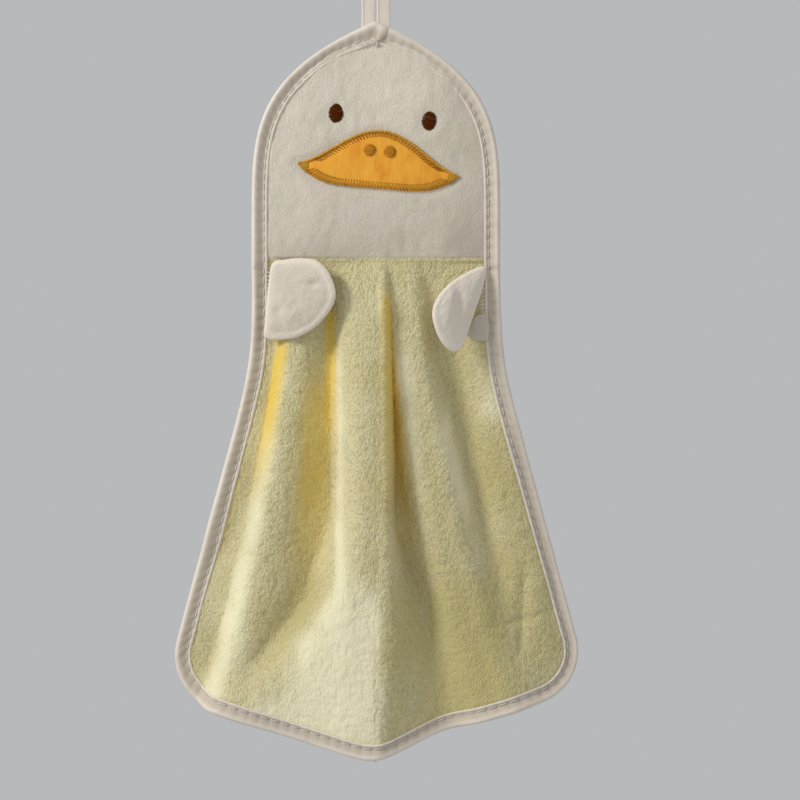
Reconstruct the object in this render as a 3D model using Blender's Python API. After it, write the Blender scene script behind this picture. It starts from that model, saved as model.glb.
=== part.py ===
"""Hanging hand towel with a duck's face.

A bound head of two layers carries an applique beak and embroidered eyes. A pleated fleece skirt hangs from
the seam at its foot, two small wings are sewn to the skirt's sides, and a tape loop goes over a hook.

Metres, +Z up, front towards -Y, +X to the viewer's right. The origin is the top of the loop's inside, where
it bears on the hook. A drop is a distance down from the head's tip or, on the skirt, from the seam.
"""

import math

import bmesh
import bpy
import numpy as np

# Overall sizes
LOOP_DROP = 0.070  # hook to the head's tip
HEAD_HEIGHT = 0.137  # head's tip to the seam
HEAD_HALF_WIDTH = 0.0705
ARCH_HEIGHT = 0.120  # drop over which the head's sides widen
ARCH_POWER = 4  # fullness of the arch's shoulders
SKIRT_LENGTH = 0.2765  # seam to the hem's tip
FLARE_START = 0.055  # drop from the seam where the sides turn outwards
FLARE_SLOPE = 0.28  # outward run of each side for its drop
FLARE_SOFTNESS = 0.012
HEM_RISE = 0.0645  # hem's tip up to where the bottom corners begin
CORNER_RADIUS = 0.030
HEM_TIP_SOFTNESS = 0.008

# Cloth and tape
GAP = 0.0003  # between pieces that touch
HEAD_LAYER = 0.0020
FLEECE = 0.0032
BINDING_WIDTH = 0.0085
BINDING_WALL = 0.0009
BINDING_GAP = 0.0005  # between the folded tape and the cloth inside it
STITCH_INSET = 0.0019  # from the tape's inner edge to its row of stitching
THREAD_RADIUS = 0.00035
SEAM_RADIUS = 0.0015  # overlocked seam that the skirt folds about
TACK_RADIUS = 0.0010
BINDING_END = 0.0026  # from the seam's axis to the skirt tape's ends

# Hanging loop
TAPE_WIDTH = 0.0080
TAPE_THICKNESS = 0.0012
LOOP_RADIUS = 0.0090  # inside the loop's top
TWIST_TOP = 0.020  # drop from the hook where each leg begins to turn its face to the front
TWIST_BOTTOM = 0.056

# Face
FACE_TILT = math.radians(4.7)
FACE_X = 0.0014
FACE_DROP = 0.0840  # head's tip to the line through the beak's corners
BEAK_HALF_LENGTH = 0.0457
BEAK_RISE = 0.0215
BEAK_SAG = 0.0113
BEAK_THICKNESS = 0.0010
BEAK_STITCH_WIDTH = 0.0034
BEAK_STITCH_THICKNESS = 0.0007
EYE_SPREAD = 0.0265  # from the face's axis to each eye
EYE_RISE = 0.0293
EYE_WIDTH = 0.0083
EYE_HEIGHT = 0.0106
EMBROIDERY = 0.0009
NOSTRIL_SPREAD = 0.0057
NOSTRIL_RISE = 0.0100
NOSTRIL_SIZE = 0.0065

# Wings
WING_CLEARANCE = 0.0007  # between a wing's root seam and the tape's inner edge
WING_ROOT_TOP = 0.0045  # drop from the seam
WING_ROOT_LENGTH = 0.0370
WING_LAYER = 0.0018
WING_PUFF = 0.0022  # how far each layer stands off the other at the wing's middle
WING_THREAD_RADIUS = 0.0008
WING_OUTLINES = {  # run from the root and drop from the seam, from the root's top round to its bottom
    "left": ((0, 0.0050), (0.018, 0.0034), (0.0300, 0.0060), (0.0385, 0.0190), (0.0345, 0.0290),
             (0.0180, 0.0425), (0, 0.0405)),
    "right": ((0, 0.0050), (0.0130, 0.0065), (0.0250, 0.0170), (0.0320, 0.0280), (0.0285, 0.0400),
              (0.0150, 0.0475), (0, 0.0405)),
}
WING_LIFTS = {"left": math.radians(15), "right": math.radians(24)}

# Folds of the skirt: centre at the seam, its sideways run and bend down the skirt, forward height, half-width
# at the seam and how much wider it is at the hem
FOLD_RISE = 0.060  # drop over which a fold reaches half of its height
FOLDS = (
    ("left", -0.032, -0.06, -0.50, 0.014, 0.014, 0.012),
    ("middle", -0.0085, 0.00, 0.05, 0.036, 0.0135, 0.024),
    ("right", 0.0170, 0.15, 0.00, 0.013, 0.011, 0.012),
    ("edge", 0.0520, 0.17, 0.00, 0.009, 0.012, 0.010),
)
FOLD_BACKSET = 0.0155  # how far the valleys lie behind the seam

# Fineness of the meshes
HEAD_STATIONS = 20
SIDE_STATIONS = 16
CORNER_STATIONS = 6
HEM_STATIONS = 16  # each half of the hem
LOOP_STATIONS = 34
WING_RINGS = 4
WING_POINTS = 20
BEAK_POINTS = 16

SEAM_Z = -LOOP_DROP - HEAD_HEIGHT
CORNER_START = SKIRT_LENGTH - HEM_RISE
TACK_HALF_WIDTH = TAPE_WIDTH + 2 * GAP
HEAD_TOP = TACK_RADIUS + GAP  # from the loop's tack down to the head's tip
HEAD_FOOT = SEAM_RADIUS + GAP  # from the seam's axis up to the head's lower edge
HEAD_DROP = HEAD_HEIGHT - HEAD_TOP - HEAD_FOOT  # from the head's tip down to its lower edge
SKIRT_TOP = SEAM_RADIUS + GAP  # from the seam's axis down to the skirt's upper edge
EDGE = BINDING_WALL + BINDING_GAP  # from the finished edge to the cloth inside the tape
HEAD_HALF_THICKNESS = HEAD_LAYER + GAP / 2
WING_ROOT_X = HEAD_HALF_WIDTH - BINDING_WIDTH - WING_CLEARANCE - WING_THREAD_RADIUS
WING_AXIS_Y = -(FLEECE / 2 + GAP + WING_THREAD_RADIUS)

COLOURS = {
    "cream_tape": (0.78, 0.71, 0.62),
    "white_plush": (0.76, 0.70, 0.60),
    "yellow_fleece": (0.80, 0.76, 0.50),
    "orange_felt": (0.84, 0.40, 0.06),
    "orange_thread": (0.78, 0.33, 0.05),
    "brown_thread": (0.07, 0.02, 0.01),
    "gold_thread": (0.52, 0.24, 0.03),
    "cream_thread": (0.82, 0.77, 0.68),
}


def clear_scene():
    for item in list(bpy.data.objects):
        bpy.data.objects.remove(item)


def material(name):
    found = bpy.data.materials.get(name)
    if found:
        return found
    made = bpy.data.materials.new(name)
    made.use_nodes = True
    shader = made.node_tree.nodes["Principled BSDF"]
    shader.inputs["Base Color"].default_value = (*COLOURS[name], 1)
    shader.inputs["Roughness"].default_value = 0.9
    shader.inputs["Metallic"].default_value = 0.0
    return made


def add_object(name, mesh, finish, pivot=None):
    """An object of this mesh; a moving piece hangs from an empty on its joint's axis."""
    mesh.materials.append(material(finish))
    made = bpy.data.objects.new(name, mesh)
    bpy.context.collection.objects.link(made)
    if pivot:
        made.parent = pivot
        made.matrix_parent_inverse = pivot.matrix_world.inverted()
    return made


def add_pivot(name, place, parent=None):
    empty = bpy.data.objects.new(name, None)
    bpy.context.collection.objects.link(empty)
    empty.location = place
    if parent:
        empty.parent = parent
        bpy.context.view_layer.update()
        empty.matrix_parent_inverse = parent.matrix_world.inverted()
    bpy.context.view_layer.update()
    return empty


def mesh_of(name, shape):
    """The bmesh as a mesh, doubles merged and faces turned outwards."""
    bmesh.ops.remove_doubles(shape, verts=shape.verts, dist=1e-6)
    bmesh.ops.recalc_face_normals(shape, faces=shape.faces)
    mesh = bpy.data.meshes.new(name)
    shape.to_mesh(mesh)
    shape.free()
    mesh.shade_smooth()
    mesh.set_sharp_from_angle(angle=math.radians(40))
    return mesh


def loft(name, sections, closed=False):
    """Mesh through sections, an array (stations, points, 3), with flat ends or, if closed, joined end to start."""
    shape = bmesh.new()
    rings = [[shape.verts.new(point) for point in ring] for ring in sections]
    pairs = list(zip(rings, rings[1:]))
    if closed:
        pairs.append((rings[-1], rings[0]))
    for first, second in pairs:
        for i in range(len(first)):
            j = (i + 1) % len(first)
            shape.faces.new((first[i], first[j], second[j], second[i]))
    if not closed:
        shape.faces.new(rings[0])
        shape.faces.new(rings[-1])
    return mesh_of(name, shape)


def slab(name, outline, front_y, thickness):
    """Flat plate with this outline, an array of (x, z), and its front face at front_y."""
    shape = bmesh.new()
    face = shape.faces.new([shape.verts.new((x, front_y, z)) for x, z in outline])
    made = bmesh.ops.extrude_face_region(shape, geom=[face])
    moved = [item for item in made["geom"] if isinstance(item, bmesh.types.BMVert)]
    bmesh.ops.translate(shape, verts=moved, vec=(0, thickness, 0))
    return mesh_of(name, shape)


def grid_mesh(name, points):
    """Open sheet through a grid of points, an array (rows, columns, 3)."""
    rows, columns = points.shape[:2]
    index = np.arange(rows * columns).reshape(rows, columns)
    corners = (index[:-1, :-1], index[1:, :-1], index[1:, 1:], index[:-1, 1:])
    faces = np.stack(corners, axis=-1).reshape(-1, 4)
    mesh = bpy.data.meshes.new(name)
    mesh.from_pydata(points.reshape(-1, 3).tolist(), [], faces.tolist())
    mesh.shade_smooth()
    return mesh


def thicken(item, thickness):
    """Solidify evenly about the sheet's middle."""
    wall = item.modifiers.new("thickness", "SOLIDIFY")
    wall.thickness = thickness
    wall.offset = 0


def rod(name, start, end, radius, finish, pivot):
    """Round rod between two points, 10-sided."""
    start, end = np.array(start), np.array(end)
    along = (end - start) / np.linalg.norm(end - start)
    side = np.cross(along, (0, 1, 0))
    other = np.cross(along, side)
    turn = np.linspace(0, 2 * math.pi, 10, endpoint=False)[:, None]
    ring = radius * (np.cos(turn) * side + np.sin(turn) * other)
    return add_object(name, loft(name, np.stack([start + ring, end + ring])), finish, pivot)


# Plane curves: arrays of (x, drop)


def inward_normals(path):
    """Unit normals of a path that runs down the right side or leftwards along the hem, towards the cloth."""
    along = np.gradient(path, axis=0)
    along /= np.linalg.norm(along, axis=1)[:, None]
    return np.stack([-along[:, 1], along[:, 0]], axis=1)


def spaced(path, count):
    """The same path with points at equal distances."""
    steps = np.linalg.norm(np.diff(path, axis=0), axis=1)
    length = np.concatenate([[0], np.cumsum(steps)])
    at = np.linspace(0, length[-1], count)
    return np.stack([np.interp(at, length, path[:, k]) for k in range(2)], axis=1)


def smooth_through(points, count):
    """Catmull-Rom curve through the points, ends included, resampled evenly."""
    points = np.array(points, float)
    padded = np.concatenate([2 * points[:1] - points[1:2], points, 2 * points[-1:] - points[-2:-1]])
    t = np.linspace(0, 1, 12, endpoint=False)[:, None]
    runs = []
    for a, b, c, d in zip(padded, padded[1:], padded[2:], padded[3:]):
        cubic = 2 * b + (c - a) * t + (2 * a - 5 * b + 4 * c - d) * t**2 + (3 * b - a - 3 * c + d) * t**3
        runs.append(cubic / 2)
    return spaced(np.concatenate(runs + [points[-1:]]), count)


# Head


def head_side(inset, first_x, last_drop, count=HEAD_STATIONS):
    """Right side of the head, inset from its finished edge, from x = first_x down to last_drop."""
    drop = HEAD_HEIGHT * np.linspace(0, 1, 400) ** 1.5
    reach = np.clip(1 - drop / ARCH_HEIGHT, 0, 1)
    edge = np.stack([HEAD_HALF_WIDTH * (1 - reach**ARCH_POWER), drop], axis=1)
    moved = edge + inset * inward_normals(edge)
    begin = np.interp(first_x, moved[:, 0], moved[:, 1])
    kept = moved[(moved[:, 1] > begin + 1e-5) & (moved[:, 1] < last_drop - 1e-5)]
    end_x = np.interp(last_drop, moved[:, 1], moved[:, 0])
    return spaced(np.concatenate([[(first_x, begin)], kept, [(end_x, last_drop)]]), count)


def head_outline(inset):
    """Closed outline of the head's cloth as (x, z)."""
    side = head_side(inset, 0, HEAD_DROP)
    outline = np.concatenate([side, (side * (-1, 1))[:0:-1]])
    return np.stack([outline[:, 0], -LOOP_DROP - HEAD_TOP - outline[:, 1]], axis=1)


def tape_section(half_cloth):
    """Folded tape's section: distance in from the finished edge, and offset to the back."""
    inner = half_cloth + BINDING_GAP
    outer = inner + BINDING_WALL
    turn = np.linspace(-math.pi / 2, math.pi / 2, 5)
    nose = np.stack([outer * (1 - np.cos(turn)), outer * np.sin(turn)], axis=1)
    legs = [(BINDING_WIDTH, outer), (BINDING_WIDTH, inner), (BINDING_WALL, inner),
            (BINDING_WALL, -inner), (BINDING_WIDTH, -inner), (BINDING_WIDTH, -outer)]
    return np.concatenate([nose, legs])


def thread_section(half_cloth):
    """Round thread on the tape's front, as distance in from the finished edge and offset to the back."""
    face = half_cloth + BINDING_GAP + BINDING_WALL + GAP + THREAD_RADIUS
    turn = np.linspace(0, 2 * math.pi, 5, endpoint=False)
    inset = BINDING_WIDTH - STITCH_INSET
    return np.stack([inset + THREAD_RADIUS * np.cos(turn), THREAD_RADIUS * np.sin(turn) - face], axis=1)


def head_strip(section, side, first_x):
    """Section carried down one side of the head, (stations, points, 3); side is -1 for left."""
    top = -LOOP_DROP - HEAD_TOP
    curves = []
    for inset, back in section:
        path = head_side(inset, first_x, HEAD_DROP)
        curves.append(np.stack([side * path[:, 0], np.full(len(path), back), top - path[:, 1]], axis=1))
    return np.stack(curves, axis=1)


def build_head(pivot):
    outline = head_outline(EDGE)
    front = slab("head_front_panel", outline, -HEAD_HALF_THICKNESS, HEAD_LAYER)
    back = slab("head_back_panel", outline, GAP / 2, HEAD_LAYER)
    add_object("head_front_panel", front, "white_plush", pivot)
    add_object("head_back_panel", back, "white_plush", pivot)
    section = tape_section(HEAD_HALF_THICKNESS)
    for name, side in (("head_binding_left", -1), ("head_binding_right", 1)):
        strip = head_strip(section, side, GAP / 2)
        add_object(name, loft(name, strip), "cream_tape", pivot)
    thread = thread_section(HEAD_HALF_THICKNESS)
    left, right = head_strip(thread, -1, 0), head_strip(thread, 1, 0)
    whole = np.concatenate([left[::-1], right[1:]])
    name = "head_binding_stitching"
    add_object(name, loft(name, whole), "cream_thread", pivot)


# Face


def on_face(points):
    """Points in the face's own axes, right and up from its middle, as (x, z) on the head."""
    points = np.asarray(points, float)
    across = math.cos(FACE_TILT) * points[..., 0] + math.sin(FACE_TILT) * points[..., 1]
    up = math.cos(FACE_TILT) * points[..., 1] - math.sin(FACE_TILT) * points[..., 0]
    return np.stack([FACE_X + across, up - LOOP_DROP - FACE_DROP], axis=-1)


def beak_outline(inset):
    """Beak in the face's axes: a full hump above the line of its corners, a shallow flat-bottomed sag below."""
    turn = np.linspace(0, math.pi, BEAK_POINTS)
    u = np.cos(turn)
    upper = (BEAK_RISE - inset) * np.cos(u * math.pi / 2) ** 1.6
    lower = (inset - BEAK_SAG) * (1 - np.abs(u) ** 5)
    across = (BEAK_HALF_LENGTH - 2 * inset) * u
    top = np.stack([across, upper], axis=1)
    bottom = np.stack([across, lower], axis=1)[-2:0:-1]
    return np.concatenate([top, bottom])


def oval(name, centre, width, height, front_y, finish, pivot):
    """Oval pad of embroidery with a domed front."""
    turn = np.linspace(0, 2 * math.pi, 18, endpoint=False)
    rings = []
    for scale, depth in ((1, EMBROIDERY), (1, 0.4 * EMBROIDERY), (0.72, 0)):
        ring = np.stack([width / 2 * scale * np.cos(turn), height / 2 * scale * np.sin(turn)], axis=1)
        flat = on_face(ring + centre)
        rings.append(np.stack([flat[:, 0], np.full(len(flat), front_y + depth), flat[:, 1]], axis=1))
    add_object(name, loft(name, np.array(rings)), finish, pivot)


def build_face(pivot):
    cloth = -HEAD_HALF_THICKNESS
    patch_front = cloth - GAP - BEAK_THICKNESS
    patch = slab("beak_patch", on_face(beak_outline(0)), patch_front, BEAK_THICKNESS)
    add_object("beak_patch", patch, "orange_felt", pivot)
    outer, inner = on_face(beak_outline(0)), on_face(beak_outline(BEAK_STITCH_WIDTH))
    back = patch_front - GAP
    front = back - BEAK_STITCH_THICKNESS
    corners = ((outer, front), (outer, back), (inner, back), (inner, front))
    ring = [np.stack([edge[:, 0], np.full(len(edge), y), edge[:, 1]], axis=1) for edge, y in corners]
    name = "beak_edge_stitching"
    add_object(name, loft(name, np.stack(ring, axis=1), closed=True), "orange_thread", pivot)
    for word, side in (("left", -1), ("right", 1)):
        oval(f"eye_{word}", (side * EYE_SPREAD, EYE_RISE), EYE_WIDTH, EYE_HEIGHT,
             cloth - GAP - EMBROIDERY, "brown_thread", pivot)
        oval(f"nostril_{word}", (side * NOSTRIL_SPREAD, NOSTRIL_RISE), NOSTRIL_SIZE, NOSTRIL_SIZE,
             patch_front - GAP - EMBROIDERY, "gold_thread", pivot)


# Skirt


def side_half_width(drop):
    """Half-width of the finished skirt: straight below the seam, then flaring at a steady slope."""
    softly = np.logaddexp(0, (drop - FLARE_START) / FLARE_SOFTNESS) * FLARE_SOFTNESS
    return HEAD_HALF_WIDTH + FLARE_SLOPE * softly


def bottom_edge():
    """Right corner and right half of the hem, as (x, drop) from the side to the tip: an arc that leaves the
    side at a tangent, then the tangent from it to the tip, softened there."""
    slope = math.atan(FLARE_SLOPE)
    start = np.array([side_half_width(CORNER_START), CORNER_START])
    centre = start + CORNER_RADIUS * np.array([-math.cos(slope), math.sin(slope)])
    away = np.array([centre[0], SKIRT_LENGTH - centre[1]])
    distance = np.linalg.norm(away)
    rise = math.atan2(away[1], away[0]) - math.asin(CORNER_RADIUS / distance)
    turn = np.linspace(-slope, math.pi / 2 - rise, CORNER_STATIONS)
    arc = centre + CORNER_RADIUS * np.stack([np.cos(turn), np.sin(turn)], axis=1)
    end = arc[-1]
    x = np.linspace(end[0], 0, HEM_STATIONS + 1)[1:]
    soft = np.hypot(x, HEM_TIP_SOFTNESS) - math.hypot(end[0], HEM_TIP_SOFTNESS)
    hem = np.stack([x, end[1] - math.tan(rise) * soft], axis=1)
    return np.concatenate([arc, hem])


def skirt_edge():
    """Whole finished edge of the skirt, from the seam down the right side, along the hem and up the left."""
    drop = CORNER_START * (np.arange(SIDE_STATIONS) / SIDE_STATIONS)
    drop[0] = BINDING_END
    side = np.stack([side_half_width(drop), drop], axis=1)
    right = np.concatenate([side, bottom_edge()])
    return np.concatenate([right, (right * (-1, 1))[-2::-1]])


def folds(x, drop):
    """How far the skirt's middle surface lies behind the seam's axis: ridges stand out towards -Y."""
    share = drop / (drop + FOLD_RISE)
    depth = FOLD_BACKSET * share
    for _, start, run, bend, height, half_width, widening in FOLDS:
        centre = start + run * drop + bend * drop**2
        width = half_width + widening * drop / SKIRT_LENGTH
        depth = depth - height * share * np.exp(-(np.abs((x - centre) / width) ** 2.6))
    return depth


def skirt_surface(path, back=0.0):
    """Points of the skirt's folded surface at (x, drop), set back along its normal."""
    x, drop = path[..., 0], path[..., 1]
    step = 1e-4
    slope_x = (folds(x + step, drop) - folds(x - step, drop)) / (2 * step)
    slope_drop = (folds(x, drop + step) - folds(x, np.maximum(drop - step, 0))) / (2 * step)
    normal = np.stack([-slope_x, np.ones_like(x), slope_drop], axis=-1)
    normal /= np.linalg.norm(normal, axis=-1)[..., None]
    place = np.stack([x, folds(x, drop), SEAM_Z - drop], axis=-1)
    return place + back * normal


def skirt_strip(section):
    """Section carried round the skirt's edge, (stations, points, 3)."""
    edge = skirt_edge()
    normals = inward_normals(edge)
    normals[0], normals[-1] = (-1, 0), (1, 0)
    return np.stack([skirt_surface(edge + inset * normals, back) for inset, back in section], axis=1)


def skirt_grid():
    """Fleece inside the tape: columns run from the seam to points along the lower edge."""
    edge = skirt_edge()
    inside = edge + EDGE * inward_normals(edge)
    lower = inside[SIDE_STATIONS:-SIDE_STATIONS]
    share = np.linspace(0, 1, SIDE_STATIONS + 1)[:, None]
    drop = SKIRT_TOP + (lower[:, 1] - SKIRT_TOP) * share
    spread = (side_half_width(drop) - EDGE) / (side_half_width(lower[:, 1]) - EDGE)
    return skirt_surface(np.stack([lower[:, 0] * spread, drop], axis=-1))


def build_skirt(pivot):
    panel = add_object("skirt_panel", grid_mesh("skirt_panel", skirt_grid()), "yellow_fleece", pivot)
    thicken(panel, FLEECE)
    binding = loft("skirt_binding", skirt_strip(tape_section(FLEECE / 2)))
    add_object("skirt_binding", binding, "cream_tape", pivot)
    thread = loft("skirt_binding_stitching", skirt_strip(thread_section(FLEECE / 2)))
    add_object("skirt_binding_stitching", thread, "cream_thread", pivot)
    reach = HEAD_HALF_WIDTH - EDGE
    rod("seam_overlock", (-reach, 0, SEAM_Z), (reach, 0, SEAM_Z), SEAM_RADIUS, "cream_thread", pivot)


# Wings


def wing_layer(name, word, facing, pivot):
    """One layer of a wing: rings from its middle to its outline, puffed away from the other layer."""
    inward = 1 if word == "left" else -1
    outline = smooth_through(WING_OUTLINES[word], WING_POINTS)
    outline[:, 0] += WING_THREAD_RADIUS + GAP
    middle = outline.mean(axis=0)
    lift = WING_LIFTS[word]
    shape = bmesh.new()
    rings = []
    for k in range(WING_RINGS + 1):
        out = k / WING_RINGS
        off = facing * (GAP / 2 + WING_LAYER / 2 + WING_PUFF * (1 - out**3))
        flat = middle + out * (outline - middle) if k else middle[None]
        x = flat[:, 0] * math.cos(lift) - off * math.sin(lift)
        y = WING_AXIS_Y - flat[:, 0] * math.sin(lift) - off * math.cos(lift)
        x = inward * (x - WING_ROOT_X)
        z = SEAM_Z - flat[:, 1]
        rings.append([shape.verts.new(point) for point in zip(x, y, z)])
    for i in range(WING_POINTS):
        j = (i + 1) % WING_POINTS
        shape.faces.new((rings[0][0], rings[1][i], rings[1][j]))
        for inner, outer in zip(rings[1:], rings[2:]):
            shape.faces.new((inner[i], outer[i], outer[j], inner[j]))
    layer = add_object(name, mesh_of(name, shape), "white_plush", pivot)
    thicken(layer, WING_LAYER)


def build_wing(word, skirt_pivot):
    x = -WING_ROOT_X if word == "left" else WING_ROOT_X
    pivot = add_pivot(f"wing_{word}_pivot", (x, WING_AXIS_Y, SEAM_Z - WING_ROOT_TOP), skirt_pivot)
    wing_layer(f"wing_{word}_front", word, 1, pivot)
    wing_layer(f"wing_{word}_back", word, -1, pivot)
    top = SEAM_Z - WING_ROOT_TOP
    rod(f"wing_{word}_root_stitching", (x, WING_AXIS_Y, top), (x, WING_AXIS_Y, top - WING_ROOT_LENGTH),
        WING_THREAD_RADIUS, "cream_thread", skirt_pivot)


# Loop


def build_loop():
    """One tape over the hook: a half turn at the top, and legs that come together while they turn to face
    the front."""
    centre_radius = LOOP_RADIUS + TAPE_THICKNESS / 2
    leg_x = TAPE_WIDTH / 2 + GAP
    foot = -LOOP_DROP + HEAD_TOP
    turn = np.linspace(0, math.pi / 2, 9)
    arc = np.stack([centre_radius * np.sin(turn), centre_radius * np.cos(turn) - LOOP_RADIUS], axis=1)
    z = np.linspace(-LOOP_RADIUS, foot, LOOP_STATIONS // 2)[1:]
    q = np.clip((-z - TWIST_TOP) / (TWIST_BOTTOM - TWIST_TOP), 0, 1)
    q = q * q * (3 - 2 * q)
    leg = np.stack([centre_radius + (leg_x - centre_radius) * q, z], axis=1)
    right = np.concatenate([arc, leg])
    facing = np.concatenate([np.zeros(len(arc)), q]) * math.pi / 2
    path = np.concatenate([(right * (-1, 1))[:0:-1], right])
    facing = np.concatenate([facing[:0:-1], facing])
    along = np.gradient(path, axis=0)
    along /= np.linalg.norm(along, axis=1)[:, None]
    outward = np.stack([-along[:, 1], np.zeros(len(path)), along[:, 0]], axis=1)
    spine = np.stack([path[:, 0], np.zeros(len(path)), path[:, 1]], axis=1)
    tangent = np.stack([along[:, 0], np.zeros(len(path)), along[:, 1]], axis=1)
    across = np.cos(facing)[:, None] * np.array([0, 1, 0]) + np.sin(facing)[:, None] * outward
    through = np.cross(tangent, across)
    corners = [(1, 1), (1, -1), (-1, -1), (-1, 1)]
    tape = [spine + a * TAPE_WIDTH / 2 * across + b * TAPE_THICKNESS / 2 * through for a, b in corners]
    add_object("hanging_loop", loft("hanging_loop", np.stack(tape, axis=1)), "cream_tape")


def main():
    clear_scene()
    build_loop()
    head_pivot = add_pivot("head_pivot", (0, 0, -LOOP_DROP))
    rod("loop_bar_tack", (-TACK_HALF_WIDTH, 0, -LOOP_DROP), (TACK_HALF_WIDTH, 0, -LOOP_DROP),
        TACK_RADIUS, "cream_thread", head_pivot)
    build_head(head_pivot)
    build_face(head_pivot)
    skirt_pivot = add_pivot("skirt_pivot", (0, 0, SEAM_Z), head_pivot)
    build_skirt(skirt_pivot)
    for word in ("left", "right"):
        build_wing(word, skirt_pivot)


main()
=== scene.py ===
"""Looks of a hanging hand towel with a duck's face: plush head, gathered fleece skirt, bound edge, stitching.

Sizes are in metres, unless said otherwise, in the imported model's frame: +Z up, the front towards -Y, and the
origin where the loop bears on its hook. A drop is a distance down from the head's tip or, on the skirt, from
the seam.
"""

import math

import bpy
import numpy as np
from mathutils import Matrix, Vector


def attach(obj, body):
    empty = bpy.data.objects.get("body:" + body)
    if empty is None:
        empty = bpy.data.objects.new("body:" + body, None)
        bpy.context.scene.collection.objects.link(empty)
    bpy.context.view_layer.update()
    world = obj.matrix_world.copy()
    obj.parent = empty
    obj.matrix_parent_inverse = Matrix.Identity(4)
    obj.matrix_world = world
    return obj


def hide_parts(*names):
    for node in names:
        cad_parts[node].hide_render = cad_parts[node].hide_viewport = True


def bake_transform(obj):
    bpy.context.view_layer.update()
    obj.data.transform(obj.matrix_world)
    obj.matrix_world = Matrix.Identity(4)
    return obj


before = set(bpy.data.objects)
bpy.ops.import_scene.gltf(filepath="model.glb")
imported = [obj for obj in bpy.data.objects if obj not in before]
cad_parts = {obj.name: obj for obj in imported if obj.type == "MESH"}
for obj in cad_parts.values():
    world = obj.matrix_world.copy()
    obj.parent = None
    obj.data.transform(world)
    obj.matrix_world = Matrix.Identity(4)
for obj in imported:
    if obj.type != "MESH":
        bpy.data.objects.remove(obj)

bl_info = {
    "name": "Duck Hand Towel",
    "version": (1, 0, 0),
    "blender": (4, 5, 0),
    "location": "3D View > Sidebar > Towel",
    "description": "Builds a hanging duck-faced hand towel piece by piece",
    "category": "Add Mesh",
}

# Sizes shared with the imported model
LOOP_DROP = 0.07  # hook to the head's tip
HEAD_HEIGHT = 0.137  # head's tip to the seam
HEAD_HALF_WIDTH = 0.0705
ARCH_HEIGHT = 0.12
ARCH_POWER = 4
SKIRT_LENGTH = 0.2765
FLARE_START = 0.055
FLARE_SLOPE = 0.28
FLARE_SOFTNESS = 0.012
HEM_RISE = 0.0645
CORNER_RADIUS = 0.03
HEM_TIP_SOFTNESS = 0.008
BINDING_WIDTH = 0.0085
BINDING_WALL = 0.0014  # from the cloth inside the tape to the tape's outside
STITCH_INSET = 0.007  # finished edge to the row of stitching
HEAD_HALF_THICKNESS = 0.00215
FLEECE_HALF_THICKNESS = 0.0016
TAPE_WIDTH = 0.008
TAPE_THICKNESS = 0.0012
LOOP_RADIUS = 0.009
TWIST_TOP = 0.02
TWIST_BOTTOM = 0.056
FACE_TILT = math.radians(4.7)
FACE_X = 0.0014
FACE_DROP = 0.084
BEAK_HALF_LENGTH = 0.0457
BEAK_POWER = 1.6
BEAK_EDGE = 0.098  # length of its upper or its lower edge
BEAK_RISE = 0.0215
BEAK_SAG = 0.0113
EYE_SPREAD = 0.0265
EYE_RISE = 0.0293
NOSTRIL_SPREAD = 0.0057
NOSTRIL_RISE = 0.01
WING_ROOT_X = 0.0605
WING_AXIS_Y = -0.0027
WING_ROOT_TOP = 0.0045
WING_ROOT_LENGTH = 0.037
# Wings' closed outlines in millimetres: run from the root and drop from the seam, from the root's top round
WING_OUTLINES = {
    "left": ((2, 0.4), (9.5, -1.6), (18.5, -2.2), (28.5, -0.6), (35.5, 6.2), (39.5, 16.5), (38, 25),
             (29.8, 35), (18, 41.8), (6, 43.6), (-2, 42.4), (-3, 40), (-2, 29), (-0.4, 13)),
    "right": ((-1.2, 2.2), (4, 3), (11, 6.2), (21, 12.4), (29, 21.2), (31.8, 30), (29, 40.4), (23.8, 47.8),
              (18, 50.2), (13.4, 47.4), (8.8, 37.6), (4.6, 26.2), (0.4, 14.8), (-1.6, 6)),
    "right_root": ((-2, 29), (3, 29.6), (7.8, 34), (9, 39.2), (6.8, 43), (1, 44), (-3, 43), (-3.4, 35)),
}
# Dents in each wing's front in millimetres: run and drop of the middle, half-sizes, depth
WING_DENTS = {
    "left": ((27.5, 12.8, 5.5, 2.2, 1.6), (6.5, 29, 3, 5, 1.2), (15, 30, 4, 3, -1)),
    "right": ((16.5, 24, 3, 8.5, 2.1), (8, 33, 3.5, 6, 0.8), (24, 33, 4, 5, -0.6)),
    "right_root": (),
}
WING_LIFTS = {"left": 15, "right": 24, "right_root": 4}  # degrees forwards
WING_CURLS = {"left": 0.0012, "right": 0.005, "right_root": -0.0012}  # of the free end, forwards
SEAM_Z = -LOOP_DROP - HEAD_HEIGHT

# Folds of the skirt: centre at the seam, its sideways run and bend down the skirt, forward height, then for
# the left and the right flank the half-width at the seam and at the hem and the steepness at the seam and at
# the hem, and the drop where the flanks begin to spread
FOLDS = (
    (-0.0405, -0.06, -0.5, 0.0165, (0.0085, 0.0105, 4.0, 3.0), (0.0105, 0.034, 2.2, 1.8), 0.02),
    (0.0005, 0.05, -0.19, 0.0335, (0.0224, 0.08, 5.5, 1.2), (0.0034, 0.039, 3.0, 1.1), 0.135),
    (0.0136, 0.1, 0.5, 0.02, (0.0104, 0.024, 5.0, 3.0), (0.0098, 0.02, 4.0, 2.0), 0.01),
    (0.054, 0.16, 0.00, 0.0095, (0.011, 0.017, 2.6, 2.0), (0.012, 0.02, 2.4, 2.0), 0.01),
)
CREST_RADIUS = 0.0012  # rounds the crests
FOLD_RISE = 0.045  # drop over which a fold reaches half of its height
FOLD_BACKSET = 0.0155  # how far the valleys lie behind the seam
BACKSET_RISE = 0.06
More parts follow.
